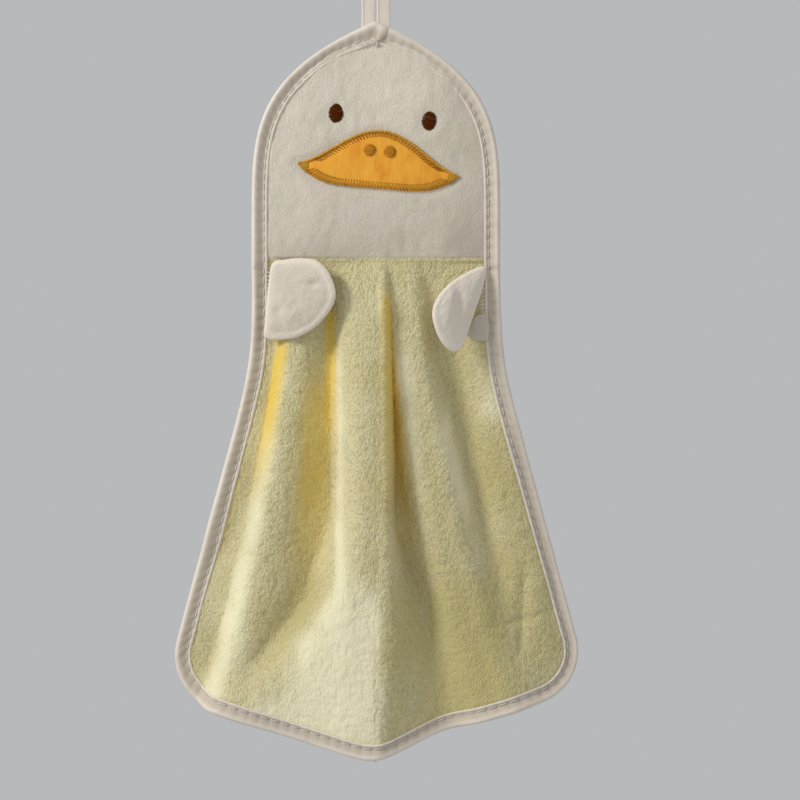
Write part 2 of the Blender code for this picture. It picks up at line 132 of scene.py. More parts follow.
# Creases pressed into the skirt: x and drop of both ends, depth, half-width
CREASES = (
    (-0.026, 0.176, -0.078, 0.234, 0.0058, 0.0082),
    (0.084, 0.172, 0.0815, 0.224, 0.0019, 0.004),
    (0.07, 0.205, 0.098, 0.199, 0.0009, 0.0026),
    (-0.07, 0.12, -0.092, 0.175, 0.0018, 0.006),
)
# Valleys of painted gold bounce light, where light reflects between a fold's walls: centre at the seam and its
# run down the skirt, half-width at the seam and its growth, the drops where they begin, are full and end, and
# strength
BOUNCE_VALLEYS = (
    (-0.0445, -0.173, 0.0026, 0.03, 0.03, 0.055, 0.145, 0.95),
    (-0.0258, 0.01, 0.0042, 0.01, 0.018, 0.03, 0.12, 0.9),
    (-0.031, -0.04, 0.007, 0.03, 0.05, 0.085, 0.2, 0.66),
    (0.0042, 0.07, 0.0008, 0.06, 0.01, 0.026, 0.19, 1.00),
    (-0.06, -0.22, 0.005, 0.04, 0.04, 0.075, 0.2, 0.3),
)
LEFT_HANG = 0.0046  # how much lower the hem's left half hangs than its right
# Bands of painted light on the fleece, and of painted shade where the strength is below zero: strength, centre
# at the seam, its run and bend, half-width at the seam and its growth, and the drops where they begin, are
# full, fade and end
PAINTED_LIGHT_AND_SHADE_BANDS = (
    (0.75, -0.047, -0.06, -0.52, 0.004, 0.02, 0.05, 0.1, 0.24, 0.3),
    (0.7, -0.0185, 0, 0, 0.003, 0, 0.03, 0.06, 0.19, 0.24),
    (0.9, 0.0215, 0.12, 0.55, 0.0062, 0, 0.06, 0.1, 0.15, 0.21),
    (0.8, 0.012, 0.05, 0.42, 0.006, 0, 0.03, 0.06, 0.11, 0.16),
    (0.5, -0.064, -0.25, 0, 0.008, 0, 0.05, 0.09, 0.16, 0.2),
    (0.6, 0.066, 0, 0, 0.007, 0, 0.05, 0.075, 0.085, 0.105),
    (-0.35, 0.0000, 0, 0, 0.006, 0, 0.02, 0.05, 0.15, 0.2),
    (-0.45, 0.049, 0, 0, 0.01, 0, 0.03, 0.045, 0.07, 0.1),
    (-0.4, -0.05, 0, 0, 0.02, 0, 0.08, 0.12, 0.16, 0.22),
    (-0.8, 0.014, -0.3, 0, 0.015, 0, 0.17, 0.19, 0.225, 0.26),
    (-0.6, 0.0645, 0, 0, 0.01, 0, 0.08, 0.095, 0.115, 0.14),
    (-0.55, 0.055, 0, 0, 0.018, 0, 0.17, 0.2, 0.235, 0.262),
    (-0.35, 0.033, 0, 0, 0.007, 0, 0.11, 0.13, 0.15, 0.18),
    (0.45, 0.016, 0, 0, 0.008, 0, 0.21, 0.235, 0.27, 0.3),
)
SIDES = 6  # of a thread
CELLS = 256  # rows and columns of random values before a noise repeats


def size_property(name, description, default, low, high):
    return bpy.props.FloatProperty(
        name=name, description=description, default=default, min=low, max=high, unit="LENGTH")


def colour_property(name, default):
    return bpy.props.FloatVectorProperty(name=name, subtype="COLOR", size=3, min=0, max=1, default=default)


class TowelSizes(bpy.types.PropertyGroup):
    """Sizes of the pile, the tape and the stitches."""

    fleece_nap: size_property("Fleece nap", "Height of the tufts over their roots", 0.0011, 0.0002, 0.003)
    fleece_tuft: size_property("Fleece tuft", "Spacing of the tufts", 0.0023, 0.001, 0.008)
    plush_nap: size_property("Plush nap", "Unevenness of the short pile", 0.00022, 0.00005, 0.001)
    head_crown: size_property("Head crown", "How far the head's middle stands out", 0.0008, 0, 0.002)
    stitch_pitch: size_property("Stitch pitch", "Spacing of the binding's stitches", 0.0062, 0.002, 0.02)
    stitch_radius: size_property("Thread radius", "Radius of the binding's thread", 0.0003, 0.0001, 0.001)
    binding_puff: size_property("Binding puff", "Swelling of the rolled tape", 0.0009, 0, 0.002)
    wing_puff: size_property("Wing puff", "Swelling of each side of a wing", 0.0022, 0, 0.004)


class TowelColours(bpy.types.PropertyGroup):
    """Colours of the cloths and threads."""

    fleece_tip: colour_property("Fleece, ends of the tufts", (0.84, 0.775, 0.51))
    # painted shade in the pits between the tufts
    fleece_root: colour_property("Fleece in painted shade, pits between tufts", (0.48, 0.4, 0.165))
    # painted gold bounce light deep in a fold
    fleece_bounce_light: colour_property("Fleece in painted bounce light", (0.85, 0.6, 0.09))
    # painted light, then painted shade
    fleece_painted_light: colour_property("Fleece in painted light", (0.92, 0.87, 0.61))
    fleece_painted_shade: colour_property("Fleece in painted shade", (0.6, 0.53, 0.24))
    plush: colour_property("Plush", (0.76, 0.69, 0.575))
    plush_patch: colour_property("Plush, nap turned", (0.68, 0.64, 0.5))
    plush_streak: colour_property("Plush, pale strokes", (0.84, 0.8, 0.75))
    plush_rosy: colour_property("Plush, warm patches", (0.75, 0.63, 0.56))
    plush_pit: colour_property("Plush between the hairs", (0.56, 0.5, 0.42))
    plush_shade: colour_property("Plush in shade", (0.5, 0.42, 0.35))
    plush_light: colour_property("Plush in light", (0.95, 0.85, 0.72))
    tape: colour_property("Tape", (0.83, 0.75, 0.65))
    # worn patches, and painted shade along the stitching
    tape_wear_and_shade: colour_property("Tape, worn, and in painted shade along its stitching", (0.5, 0.42, 0.32))
    # painted highlight on the tops of the weave
    tape_weave_highlight: colour_property("Tape in painted highlight, tops of the weave", (0.92, 0.88, 0.82))
    felt: colour_property("Felt", (0.9, 0.41, 0.045))
    felt_patch: colour_property("Felt, warm patches", (0.8, 0.29, 0.025))
    felt_streak: colour_property("Felt, pale fibres", (0.95, 0.55, 0.12))
    cream_thread: colour_property("Sewing thread", (0.84, 0.8, 0.73))
    orange_thread: colour_property("Beak's thread", (0.86, 0.47, 0.055))
    gold_thread: colour_property("Nostrils' thread", (0.66, 0.29, 0.03))
    brown_thread: colour_property("Eyes' thread", (0.105, 0.022, 0.0012))
    thread_dark: colour_property("Beak's darkest stitches", (0.26, 0.095, 0.008))


# Arrays, curves and noise


def joined(*parts):
    """Numbers and arrays, broadcast together, as the columns of a new last axis."""
    return np.stack(np.broadcast_arrays(*parts), axis=-1)


def unit(vectors):
    """Vectors along the last axis, at length one; the small number keeps a zero vector at zero."""
    return vectors / (np.linalg.norm(vectors, axis=-1)[..., None] + 1e-12)


def bell(value, centre, half_width, power=2):
    """Exponential of minus a power of the distance from the centre in half-widths."""
    return np.exp(-(((value - centre) / half_width) ** power))


def lengths_along(path):
    """Length from a path's start to each of its points."""
    return np.concatenate([[0], np.cumsum(np.linalg.norm(np.diff(path, axis=0), axis=1))])


def smoothstep(low, high, value):
    """Cubic ease from 0 at low to 1 at high."""
    share = np.clip((value - low) / (high - low), 0, 1)
    return share * share * (3 - 2 * share)


def window(value, begin, full, fade, end):
    """0 up to begin, 1 from full to fade and 0 again from end on."""
    return smoothstep(begin, full, value) * (1 - smoothstep(fade, end, value))


def mirrored(half):
    """A right half that ends on the middle line, followed by its mirror image back to its start."""
    return np.concatenate([half, (half * (-1, 1))[-2::-1]])


def spaced(path, count):
    """The same path with points at equal distances."""
    length = lengths_along(path)
    at = np.linspace(0, length[-1], count)
    return joined(*(np.interp(at, length, column) for column in path.T))


def inward_normals(path):
    """Unit normals of a path down the right side or leftwards along the hem, towards the cloth: its direction
    turned a quarter turn."""
    along = unit(np.gradient(path, axis=0))
    return joined(-along[:, 1], along[:, 0])


def smooth_ring(points, count):
    """Closed Catmull-Rom curve through the points, at equal distances, without its first point again."""
    points = np.array(points, float)
    padded = np.concatenate([points[-1:], points, points[:2]])
    a, b, c, d = (padded[k:len(padded) - 3 + k, None] for k in range(4))
    t = np.linspace(0, 1, 12, endpoint=False)[None, :, None]
    cubic = 2 * b + (c - a) * t + (2 * a - 5 * b + 4 * c - d) * t**2 + (3 * b - a - 3 * c + d) * t**3
    return spaced(np.concatenate([cubic.reshape(-1, 2) / 2, points[:1]]), count + 1)[:-1]


def soft_noise(u, v, size, seed):
    """Random values from -1 to 1 at the corners of square cells, blended across a cell with a smoothstep."""
    table = np.random.default_rng(seed).random((CELLS, CELLS))
    a, b = np.asarray(u) / size, np.asarray(v) / size
    i, j = np.floor(a).astype(int), np.floor(b).astype(int)
    s, t = smoothstep(0, 1, a - i), smoothstep(0, 1, b - j)
    near, far = (table[i % CELLS, k % CELLS] * (1 - s) + table[(i + 1) % CELLS, k % CELLS] * s
                 for k in (j, j + 1))
    return 2 * (near * (1 - t) + far * t) - 1


def tufted(u, v, size, seed):
    """1 at a tuft's middle down to 0 between tufts: one minus the squared distance, in cells, to the nearest
    of the random points that stand one in each square cell."""
    jitter = np.random.default_rng(seed).random((2, CELLS, CELLS))
    a, b = u / size, v / size
    i, j = np.floor(a).astype(int), np.floor(b).astype(int)
    nearest = np.ones_like(a)
    for step_i, step_j in ((p, q) for p in (-1, 0, 1) for q in (-1, 0, 1)):
        row, column = (i + step_i) % CELLS, (j + step_j) % CELLS
        away = (i + step_i + jitter[0, row, column] - a) ** 2 + (j + step_j + jitter[1, row, column] - b) ** 2
        nearest = np.minimum(nearest, away)
    return 1 - nearest


def distance_to(points, line):
    """Distance from each point of an array (..., 2) to the nearest point of a line (n, 2)."""
    nearest = np.full(points.shape[:-1], np.inf)
    for x, y in line:
        nearest = np.minimum(nearest, (points[..., 0] - x) ** 2 + (points[..., 1] - y) ** 2)
    return np.sqrt(nearest)


# Meshes


def grid_faces(rows, columns, wrap, caps):
    """Corner numbers of a grid's faces, into its points and into its UV grid, which has one column more where
    the grid wraps round. A cap joins a ring's points across in pairs."""
    wide = columns + 1 if wrap else columns
    i, j = np.meshgrid(np.arange(rows - 1), np.arange(wide - 1), indexing="ij")
    i, j = i.ravel(), j.ravel()
    corners = [(i, j), (i + 1, j), (i + 1, j + 1), (i, j + 1)]
    points = joined(*(r * columns + c % columns for r, c in corners))
    places = joined(*(r * wide + c for r, c in corners))
    if caps:
        k = np.arange(columns // 2 - 1)
        across = joined(k, k + 1, columns - 2 - k, columns - 1 - k)
        last = rows - 1
        points = np.concatenate([points, across, across[:, ::-1] + last * columns])
        places = np.concatenate([places, across, across[:, ::-1] + last * wide])
    return points, places


def make_mesh(name, points, uv, wrap=False, caps=False, facing=None, values=None):
    """A mesh through a grid of points (rows, columns, 3), or through many alike (count, rows, columns, 3).
    Faces turn outwards: towards `facing` or, on a closed shape, so that its volume is positive."""
    points = points.reshape(-1, *points.shape[-3:])
    count, rows, columns = points.shape[:3]
    one, places = grid_faces(rows, columns, wrap, caps)
    corners = (one[None] + (np.arange(count) * rows * columns)[:, None, None]).reshape(-1, 4)
    flat = points.reshape(-1, 3)
    a, b, c, d = (flat[corners[:, k]] for k in range(4))
    normal = np.cross(c - a, d - b)
    outwards = (normal @ np.array(facing, float)).sum() if facing else (a * normal).sum()
    layout = uv.reshape(-1, *uv.shape[-3:]).reshape(-1, uv.shape[-3] * uv.shape[-2], 2)
    layout = np.broadcast_to(layout[:, places], (count, *places.shape, 2)).reshape(-1, 4, 2)
    if outwards < 0:
        corners, layout = corners[:, ::-1], layout[:, ::-1]
    mesh = bpy.data.meshes.new(name)
    mesh.vertices.add(len(flat))
    mesh.vertices.foreach_set("co", flat.astype(np.float32).ravel())
    mesh.loops.add(corners.size)
    mesh.loops.foreach_set("vertex_index", corners.astype(np.int32).ravel())
    mesh.polygons.add(len(corners))
    mesh.polygons.foreach_set("loop_start", np.arange(0, corners.size, 4, dtype=np.int32))
    mesh.update(calc_edges=True)
    mesh.uv_layers.new(name="cloth").data.foreach_set("uv", layout.astype(np.float32).ravel())
    for key, value in (values or {}).items():
        attribute = mesh.attributes.new(key, "FLOAT", "POINT")
        value = np.broadcast_to(value, points.shape[:-1])
        attribute.data.foreach_set("value", value.astype(np.float32).ravel())
    mesh.validate()
    mesh.shade_smooth()
    return mesh


def add_piece(mesh, slot, stands_for=(), body=None, bend=None):
    """An object of this mesh in its slot's material, on its body; given a bend, it only has its transform
    baked in and stays on no body.
    """
    mesh.materials.append(material(slot))
    made = bpy.data.objects.new(mesh.name, mesh)
    bpy.context.scene.collection.objects.link(made)
    if stands_for:
        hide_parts(*stands_for)
    if bend:
        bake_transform(made)
    else:
        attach(made, body)
    return made


def round_again(values):
    """Values round a ring with the first column again at the end, for the UV grid of a mesh that wraps."""
    return np.append(values, values[:, :1], 1)


def tube_grid(centres, up, radius):
    """Rings round centre lines, (..., stations, SIDES, 3): at each centre, radius times the cosine of the
    turn along the side direction plus its sine along `up`; side is the line's direction crossed with up."""
    along = unit(np.gradient(centres, axis=-2))
    side = unit(np.cross(along, up))
    turn = np.linspace(0, 2 * math.pi, SIDES, endpoint=False)[:, None]
    ring = np.cos(turn) * side[..., None, :] + np.sin(turn) * np.cross(side, along)[..., None, :]
    return centres[..., None, :] + np.asarray(radius)[..., None, None] * ring


def thread_mesh(name, centres, up, radius, length, dark=0):
    """A mesh of many threads, (count, stations, 3), in threads' own UV: length along and turn round, each
    thread shifted by its own amount. Each has its share of the darkest colour."""
    grid = tube_grid(centres, np.broadcast_to(up, centres.shape), radius)
    count, stations = grid.shape[:2]
    along = np.linspace(0, 1, stations)[None, :, None] * np.reshape(length, (-1, 1, 1))
    shift = np.random.default_rng(5).random((count, 1, 1)) * 0.05
    uv = joined(along + shift, np.linspace(0, 0.002, SIDES + 1))
    values = {"dark": np.reshape(dark, (-1, 1, 1))}
    return make_mesh(name, grid, uv, wrap=True, caps=True, values=values)


def sew(name, slot, nodes, starts, ends, up, lift, radius, stations=7, dark=0, body="head"):
    """Adds many stitches as one piece: each runs from its start to its end and arches over by lift times one
    minus the fourth power of the distance from its middle; it narrows where it dives into the cloth."""
    t = np.linspace(-1, 1, stations)[None, :, None]
    starts, ends = starts[:, None], ends[:, None]
    arch = np.reshape(lift, (-1, 1, 1)) * (1 - t**4) - 0.25 * np.reshape(radius, (-1, 1, 1)) * t**4
    centres = starts + (ends - starts) * (t + 1) / 2 + np.array(up) * arch
    width = radius * (1 - 0.55 * np.abs(t[..., 0]) ** 5) * np.ones((len(starts), 1))
    length = np.linalg.norm(ends - starts, axis=-1)
    add_piece(thread_mesh(name, centres, up, width, length, dark), slot, nodes, body=body)


def lens(line, middle, rings, start):
    """Rings of a closed lens: the outline drawn in to its middle by the sine of an angle that runs from the
    middle in front, `start` off zero, round the outline to the middle behind. With them, sine and cosine."""
    phi = np.linspace(start, math.pi - start, rings)[:, None]
    return middle + np.sin(phi)[..., None] * (line - middle), np.sin(phi), np.cos(phi)


# Shapes shared by several pieces


def head_half_width(drop):
    """Half of the arch: its full half-width times one minus the fourth power of its height's share left."""
    reach = np.clip(1 - drop / ARCH_HEIGHT, 0, 1)
    return HEAD_HALF_WIDTH * (1 - reach**ARCH_POWER)


def head_side(inset, count):
    """Right side of the head from its tip to the seam, moved inwards by the inset and cut at the middle."""
    drop = HEAD_HEIGHT * np.linspace(0, 1, 500) ** 1.5
    edge = joined(head_half_width(drop), drop)
    moved = edge + inset * inward_normals(edge)
    begin = np.interp(0, moved[:, 0], moved[:, 1])
    kept = moved[(moved[:, 1] > begin + 1e-5) & (moved[:, 1] < HEAD_HEIGHT - 1e-5)]
    end_x = np.interp(HEAD_HEIGHT, moved[:, 1], moved[:, 0])
    return spaced(np.concatenate([[(0, begin)], kept, [(end_x, HEAD_HEIGHT)]]), count)


def side_half_width(drop):
    """Half-width of the skirt: straight below the seam, then a steady slope that begins softly (softplus)."""
    softly = np.logaddexp(0, (drop - FLARE_START) / FLARE_SOFTNESS) * FLARE_SOFTNESS
    return HEAD_HALF_WIDTH + FLARE_SLOPE * softly


def bottom_edge():
    """Right corner and right half of the hem: an arc that leaves the side at a tangent, then the tangent from
    it to the hem's tip, rounded there by a hyperbola."""
    slope = math.atan(FLARE_SLOPE)
    corner_start = SKIRT_LENGTH - HEM_RISE
    start = np.array([side_half_width(corner_start), corner_start])
    centre = start + CORNER_RADIUS * np.array([-math.cos(slope), math.sin(slope)])
    away = np.array([centre[0], SKIRT_LENGTH - centre[1]])
    rise = math.atan2(away[1], away[0]) - math.asin(CORNER_RADIUS / np.linalg.norm(away))
    turn = np.linspace(-slope, math.pi / 2 - rise, 40)
    arc = centre + CORNER_RADIUS * joined(np.cos(turn), np.sin(turn))
    x = np.linspace(arc[-1, 0], 0, 91)[1:]
    soft = np.hypot(x, HEM_TIP_SOFTNESS) - math.hypot(arc[-1, 0], HEM_TIP_SOFTNESS)
    return np.concatenate([arc, joined(x, arc[-1, 1] - math.tan(rise) * soft)])


def skirt_half_edge():
    """Right half of the skirt's finished edge, from the seam down the side and along the hem to its tip."""
    drop = np.linspace(0, SKIRT_LENGTH - HEM_RISE, 160, endpoint=False)
    return np.concatenate([joined(side_half_width(drop), drop), bottom_edge()])


def crease_depth(x, drop):
    """Grooves along straight lines: each is its depth times a bell of the distance from the line, faded out
    at both of the line's ends."""
    total = 0
    for x0, drop0, x1, drop1, depth, half_width in CREASES:
        run, fall = x1 - x0, drop1 - drop0
        length = math.hypot(run, fall)
        along = ((x - x0) * run + (drop - drop0) * fall) / length**2
        off = ((x - x0) * fall - (drop - drop0) * run) / length
        total = total + depth * window(along, -0.15, 0.25, 0.7, 1.15) * bell(off, 0, half_width)
    return total


def folds(x, drop):
    """How far the skirt's middle surface lies behind the seam: a backset less the folds' heights. A fold is
    the exponential of minus a power of the distance from its line in half-widths; flanks spread and soften
    down the skirt. Creases and a slow random waver are added."""
    drop = np.maximum(drop, 0)
    depth = FOLD_BACKSET * drop / (drop + BACKSET_RISE)
    share = drop / (drop + FOLD_RISE)
    for start, run, bend, height, left, right, spread_from in FOLDS:
        spread = smoothstep(spread_from, SKIRT_LENGTH * 1.04, drop)
        off = x - (start + run * drop + bend * drop**2)
        near_left = 1 - smoothstep(-0.0008, 0.0008, off)
        rounded = np.sqrt(off**2 + CREST_RADIUS**2) - CREST_RADIUS
        bells = []
        for width, wide, steep, soft in (left, right):
            share_off = np.maximum(rounded / (width + (wide - width) * spread), 1e-6)
            bells.append(np.exp(-(share_off ** (steep + (soft - steep) * spread))))
        depth = depth - height * share * (near_left * bells[0] + (1 - near_left) * bells[1])
    waver = 0.0007 * soft_noise(x, drop, 0.024, 11) + 0.0003 * soft_noise(x, drop * 0.45, 0.0085, 12)
    return depth + crease_depth(x, drop) + waver * smoothstep(0, 0.03, drop)


def skirt_surface(path, back):
    """Points of the folded skirt at (x, drop), moved back along the surface's normal."""
    x, drop = path[..., 0], path[..., 1]
    step = 2e-4
    slope_x = (folds(x + step, drop) - folds(x - step, drop)) / (2 * step)
    slope_drop = (folds(x, drop + step) - folds(x, drop - step)) / (2 * step)
    normal = unit(joined(-slope_x, 1, slope_drop))
    hang = LEFT_HANG * smoothstep(0.12, 0.26, drop) * (1 - smoothstep(-0.012, 0.04, x))
    place = joined(x, folds(x, drop), SEAM_Z - drop - hang)
    return place + np.asarray(back)[..., None] * normal


def valley_bounce_light(x, drop):
    """How much gold bounce light is painted on the fleece: a bell across each valley's line, faded in and out
    along it.
    """
    total = 0
    for start, run, width, growth, begin, full, end, strength in BOUNCE_VALLEYS:
        shown = strength * window(drop, begin, full, full + 0.25 * (end - full), end)
        total = total + shown * bell(x, start + run * drop, width + growth * drop, 4)
    return np.clip(total, 0, 1)


def painted_light_and_tone(x, drop):
    """Painted light and shade on the fleece, with random tone, from -1, painted shade, to 1, painted light:
    bells across lines that follow the folds, faded in and out along them. The lower left gets painted light
    and the right gets painted shade."""
    spread = 0.017 + 0.36 * np.maximum(drop - 0.19, 0)
    value = (1.15 * smoothstep(0.165, 0.2, drop) * bell(x, -0.013 - 0.42 * (drop - 0.19), spread, 6)
             - 0.45 * smoothstep(0.014, 0.05, x) * smoothstep(0.05, 0.14, drop)
             - 0.5 * window(x, 0.001, 0.009, 0.055, 0.08) * smoothstep(0.15, 0.2, drop)
             + 0.28 * soft_noise(x, drop * 0.6, 0.013, 91) + 0.15 * soft_noise(x, drop * 0.5, 0.005, 92))
    for strength, start, run, bend, width, growth, begin, full, fade, end in PAINTED_LIGHT_AND_SHADE_BANDS:
        shown = strength * window(drop, begin, full, fade, end)
        value = value + shown * bell(x, start + run * drop + bend * drop**2, width + growth * drop)
    return value


def towel_surface(path, back):
    """Points at (x, drop from the head's tip), moved back: flat on the head, folded below the seam."""
    x, drop = path[..., 0], path[..., 1]
    back = np.broadcast_to(back, x.shape)
    flat = joined(x, back, -LOOP_DROP - drop)
    below = joined(x, np.maximum(drop - HEAD_HEIGHT, 0))
    return np.where((drop > HEAD_HEIGHT)[..., None], skirt_surface(below, back), flat)


def half_outline(inset):
    """Right half of the towel's edge, from the head's tip to the hem's, moved inwards: (x, drop)."""
    edge = skirt_half_edge()
    normals = inward_normals(edge)
    normals[-1] = (0, -1)
    below = spaced(edge + inset * normals, 330) + (0, HEAD_HEIGHT)
    below[-1, 0] = 0
    return np.concatenate([head_side(inset, 120)[:-1], below])


def outline(inset):
    """The whole edge, from the head's tip down the right, along the hem and up the left to the tip."""
    return mirrored(half_outline(inset))


def on_face(points):
    """Points in the face's own axes, right and up from the middle of the beak, as (x, drop from the tip)."""
    points = np.asarray(points, float)
    across = math.cos(FACE_TILT) * points[..., 0] + math.sin(FACE_TILT) * points[..., 1]
    up = math.cos(FACE_TILT) * points[..., 1] - math.sin(FACE_TILT) * points[..., 0]
    return joined(FACE_X + across, FACE_DROP - up)


def beak_line(inset, count):
    """Beak's outline in the face's axes, moved inwards, anticlockwise from its right corner: a cosine to the
    power 1.6 above the corners' line and a flat-bottomed fifth-power sag below it."""
    turn = np.linspace(0, math.pi, count)
    u = np.cos(turn)
    across = (BEAK_HALF_LENGTH - 2 * inset) * u
    upper = (BEAK_RISE - inset) * np.maximum(np.cos(u * math.pi / 2), 0) ** BEAK_POWER
    lower = (inset - BEAK_SAG) * (1 - np.abs(u) ** 5)
    return joined(across, upper), joined(across, lower)


def beak_distance(path):
    """Distance from each point of the head to the beak's outline."""
    return distance_to(path, on_face(np.concatenate(beak_line(0, 60))))


def head_surface(path, crown):
    """y of the head's front cloth: its flat place less a crown, a fourth-power dome across the head that
    fades at its tip and its foot, plus a dip where the beak's and the eyes' stitches hold it."""
    x, drop = path[..., 0], path[..., 1]
    across = np.clip(np.abs(x) / np.maximum(head_half_width(drop), 1e-4), 0, 1)
    dome = (1 - across**4) * window(drop, 0, 0.03, 0.118, 0.137)
    held = bell(beak_distance(path), 0, 0.0022)
    for side in (-1, 1):
        eye = on_face([(side * EYE_SPREAD, EYE_RISE)])
        held = held + 0.8 * bell(distance_to(path, eye), 0, 0.0062, 4)
    return -HEAD_HALF_THICKNESS - crown * dome + 0.00045 * held


# Materials


class Link:
    """A node's output in an expression: an operator with a number or another output adds its Math node."""

    def __init__(self, finish, socket):
        self.finish, self.socket = finish, socket

    def __add__(self, other):
        return self.finish.math("ADD", self, other)

    def __sub__(self, other):
        return self.finish.math("SUBTRACT", self, other)

    def __rsub__(self, other):
        return self.finish.math("SUBTRACT", other, self)

    def __mul__(self, other):
        return self.finish.math("MULTIPLY", self, other)

    __radd__, __rmul__ = __add__, __mul__


class Finish:
    """A material in the making."""

    def __init__(self, name, roughness, sheen=0.0, specular=0.2):
        self.material = bpy.data.materials.new(PREFIX + name)
        self.material.use_nodes = True
        self.tree = self.material.node_tree
        self.shader = self.tree.nodes["Principled BSDF"]
        inputs = {"Roughness": roughness, "Sheen Weight": sheen, "Specular IOR Level": specular}
        for key, value in inputs.items():
            self.shader.inputs[key].default_value = value

    def node(self, kind, settings=None, values=None, output=0):
        """A node of this type with its settings, its sockets' values or links, and one output as a Link."""
        made = self.tree.nodes.new(kind)
        for key, value in (settings or {}).items():
            setattr(made, key, value)
        for key, value in (values or {}).items():
            if isinstance(value, Link):
                self.tree.links.new(value.socket, made.inputs[key])
            else:
                made.inputs[key].default_value = value
        return Link(self, made.outputs[output])

    def math(self, operation, first, second):
        return self.node("ShaderNodeMath", {"operation": operation}, {0: first, 1: second})

    def mix(self, factor, first, second):
        """Mix node on two colours; numbers 6 and 7 are its colour sockets and 2 its colour output."""
        first, second = (c if isinstance(c, Link) else (*c, 1) for c in (first, second))
        settings = {"data_type": "RGBA", "clamp_factor": True}
        return self.node("ShaderNodeMix", settings, {0: factor, 6: first, 7: second}, 2)

    def limits(self, value, low, high):
        """The value stretched smoothly from low..high to 0..1."""
        settings = {"interpolation_type": "SMOOTHSTEP"}
        return self.node("ShaderNodeMapRange", settings, {"Value": value, "From Min": low, "From Max": high})

    def cloth(self, across=1, along=1):
        """The piece's own UV map, in metres, scaled."""
        place = self.node("ShaderNodeUVMap", {"uv_map": "cloth"})
        return self.node("ShaderNodeMapping", None, {"Vector": place, "Scale": (across, along, 1)})

    def value(self, name):
        return self.node("ShaderNodeAttribute", {"attribute_name": name}, None, 2)

    def noise(self, vector, size, detail=2.0, roughness=0.5):
        values = {"Vector": vector, "Scale": 1 / size, "Detail": detail, "Roughness": roughness}
        return self.node("ShaderNodeTexNoise", None, values)

    def cells(self, vector, size):
        return self.node("ShaderNodeTexVoronoi", None, {"Vector": vector, "Scale": 1 / size})

    def wave(self, vector, size, direction="X"):
        """Sine bands of this width from middle to middle; at scale 1 Blender's wave turns by 20 per unit."""
        values = {"Vector": vector, "Scale": 2 * math.pi / 20 / size}
        return self.node("ShaderNodeTexWave", {"bands_direction": direction}, values)

    def done(self, colour, height, depth):
        """Colour to the shader, and the height through a Bump node of this depth to its normal."""
        self.tree.links.new(colour.socket, self.shader.inputs["Base Color"])
        bump = self.node("ShaderNodeBump", None, {"Height": height, "Distance": depth, "Strength": 1.0})
        self.tree.links.new(bump.socket, self.shader.inputs["Normal"])
        return self.material


def yellow_fleece(slot, colours):
    """Pale tips over dark roots, which stand for painted shade in the pits between tufts; then painted light
    and painted shade along the folds, with random tone; then painted gold bounce light deep in the folds.
    """
    finish = Finish(slot, roughness=1.0, sheen=0.1, specular=0.1)
    tuft, fold, brush = finish.value("tuft"), finish.value("fold"), finish.value("brush")
    curl = finish.cells(finish.cloth(1.15, 0.8), 0.0012)
    fine = finish.noise(finish.cloth(1, 0.7), 0.0009, 3.0, 0.6)
    slow = finish.noise(finish.cloth(), 0.035)
    grain = tuft * 0.16 + fine * 0.66 + (1 - curl) * 0.36
    # the tips' share: the grain, raised by painted light and random tone
    tip = finish.limits(grain + brush * 0.24 + slow * 0.12, 0.14, 1.22)
    lit_share, shaded_share = finish.limits(brush, 0.1, 1.1), finish.limits(0 - brush, 0.1, 1.0)
    # dark roots: painted shade in the pits between the tufts
    colour = finish.mix(tip, colours.fleece_root, colours.fleece_tip)
    # painted light and painted shade along the folds
    colour = finish.mix(lit_share * 0.65, colour, colours.fleece_painted_light)
    colour = finish.mix(shaded_share * 0.45, colour, colours.fleece_painted_shade)
    # painted gold bounce light deep in the folds
    colour = finish.mix(fold * (0.72 + fine * 0.35), colour, colours.fleece_bounce_light)
    return finish.done(colour, (fine * 0.6 + (1 - curl) * 0.7) * (1 - lit_share * 0.5), 0.0007)


def white_plush(slot, colours):
    """Patches, streaks and pits of the nap, then the piece's own shade and light."""
    finish = Finish(slot, roughness=1.0, sheen=0.1, specular=0.1)
    nap = finish.noise(finish.cloth(1.6, 0.8), 0.0014, 3.0, 0.6)
    fine = finish.noise(finish.cloth(), 0.0005, 2.0, 0.6)
    patch = finish.noise(finish.cloth(1, 0.7), 0.022, 3.0, 0.55)
    streak = finish.noise(finish.cloth(1, 0.35), 0.006)
    rosy = finish.noise(finish.cloth(1, 0.8), 0.031)
    colour = colours.plush
    for factor, tint in (
            (finish.limits(patch, 0.38, 0.68) * 0.75, colours.plush_patch),
            (finish.limits(streak, 0.45, 0.8) * 0.22, colours.plush_streak),
            (finish.limits(rosy, 0.48, 0.72) * 0.55, colours.plush_rosy),
            (finish.limits(nap * 0.6 + fine * 0.4, 0.35, 0.65) * 0.3, colours.plush_pit),
            (finish.value("shade"), colours.plush_shade),
            (finish.value("light"), colours.plush_light)):
        colour = finish.mix(factor, colour, tint)
    return finish.done(colour, nap * 0.8 + fine * 0.5, 0.0007)


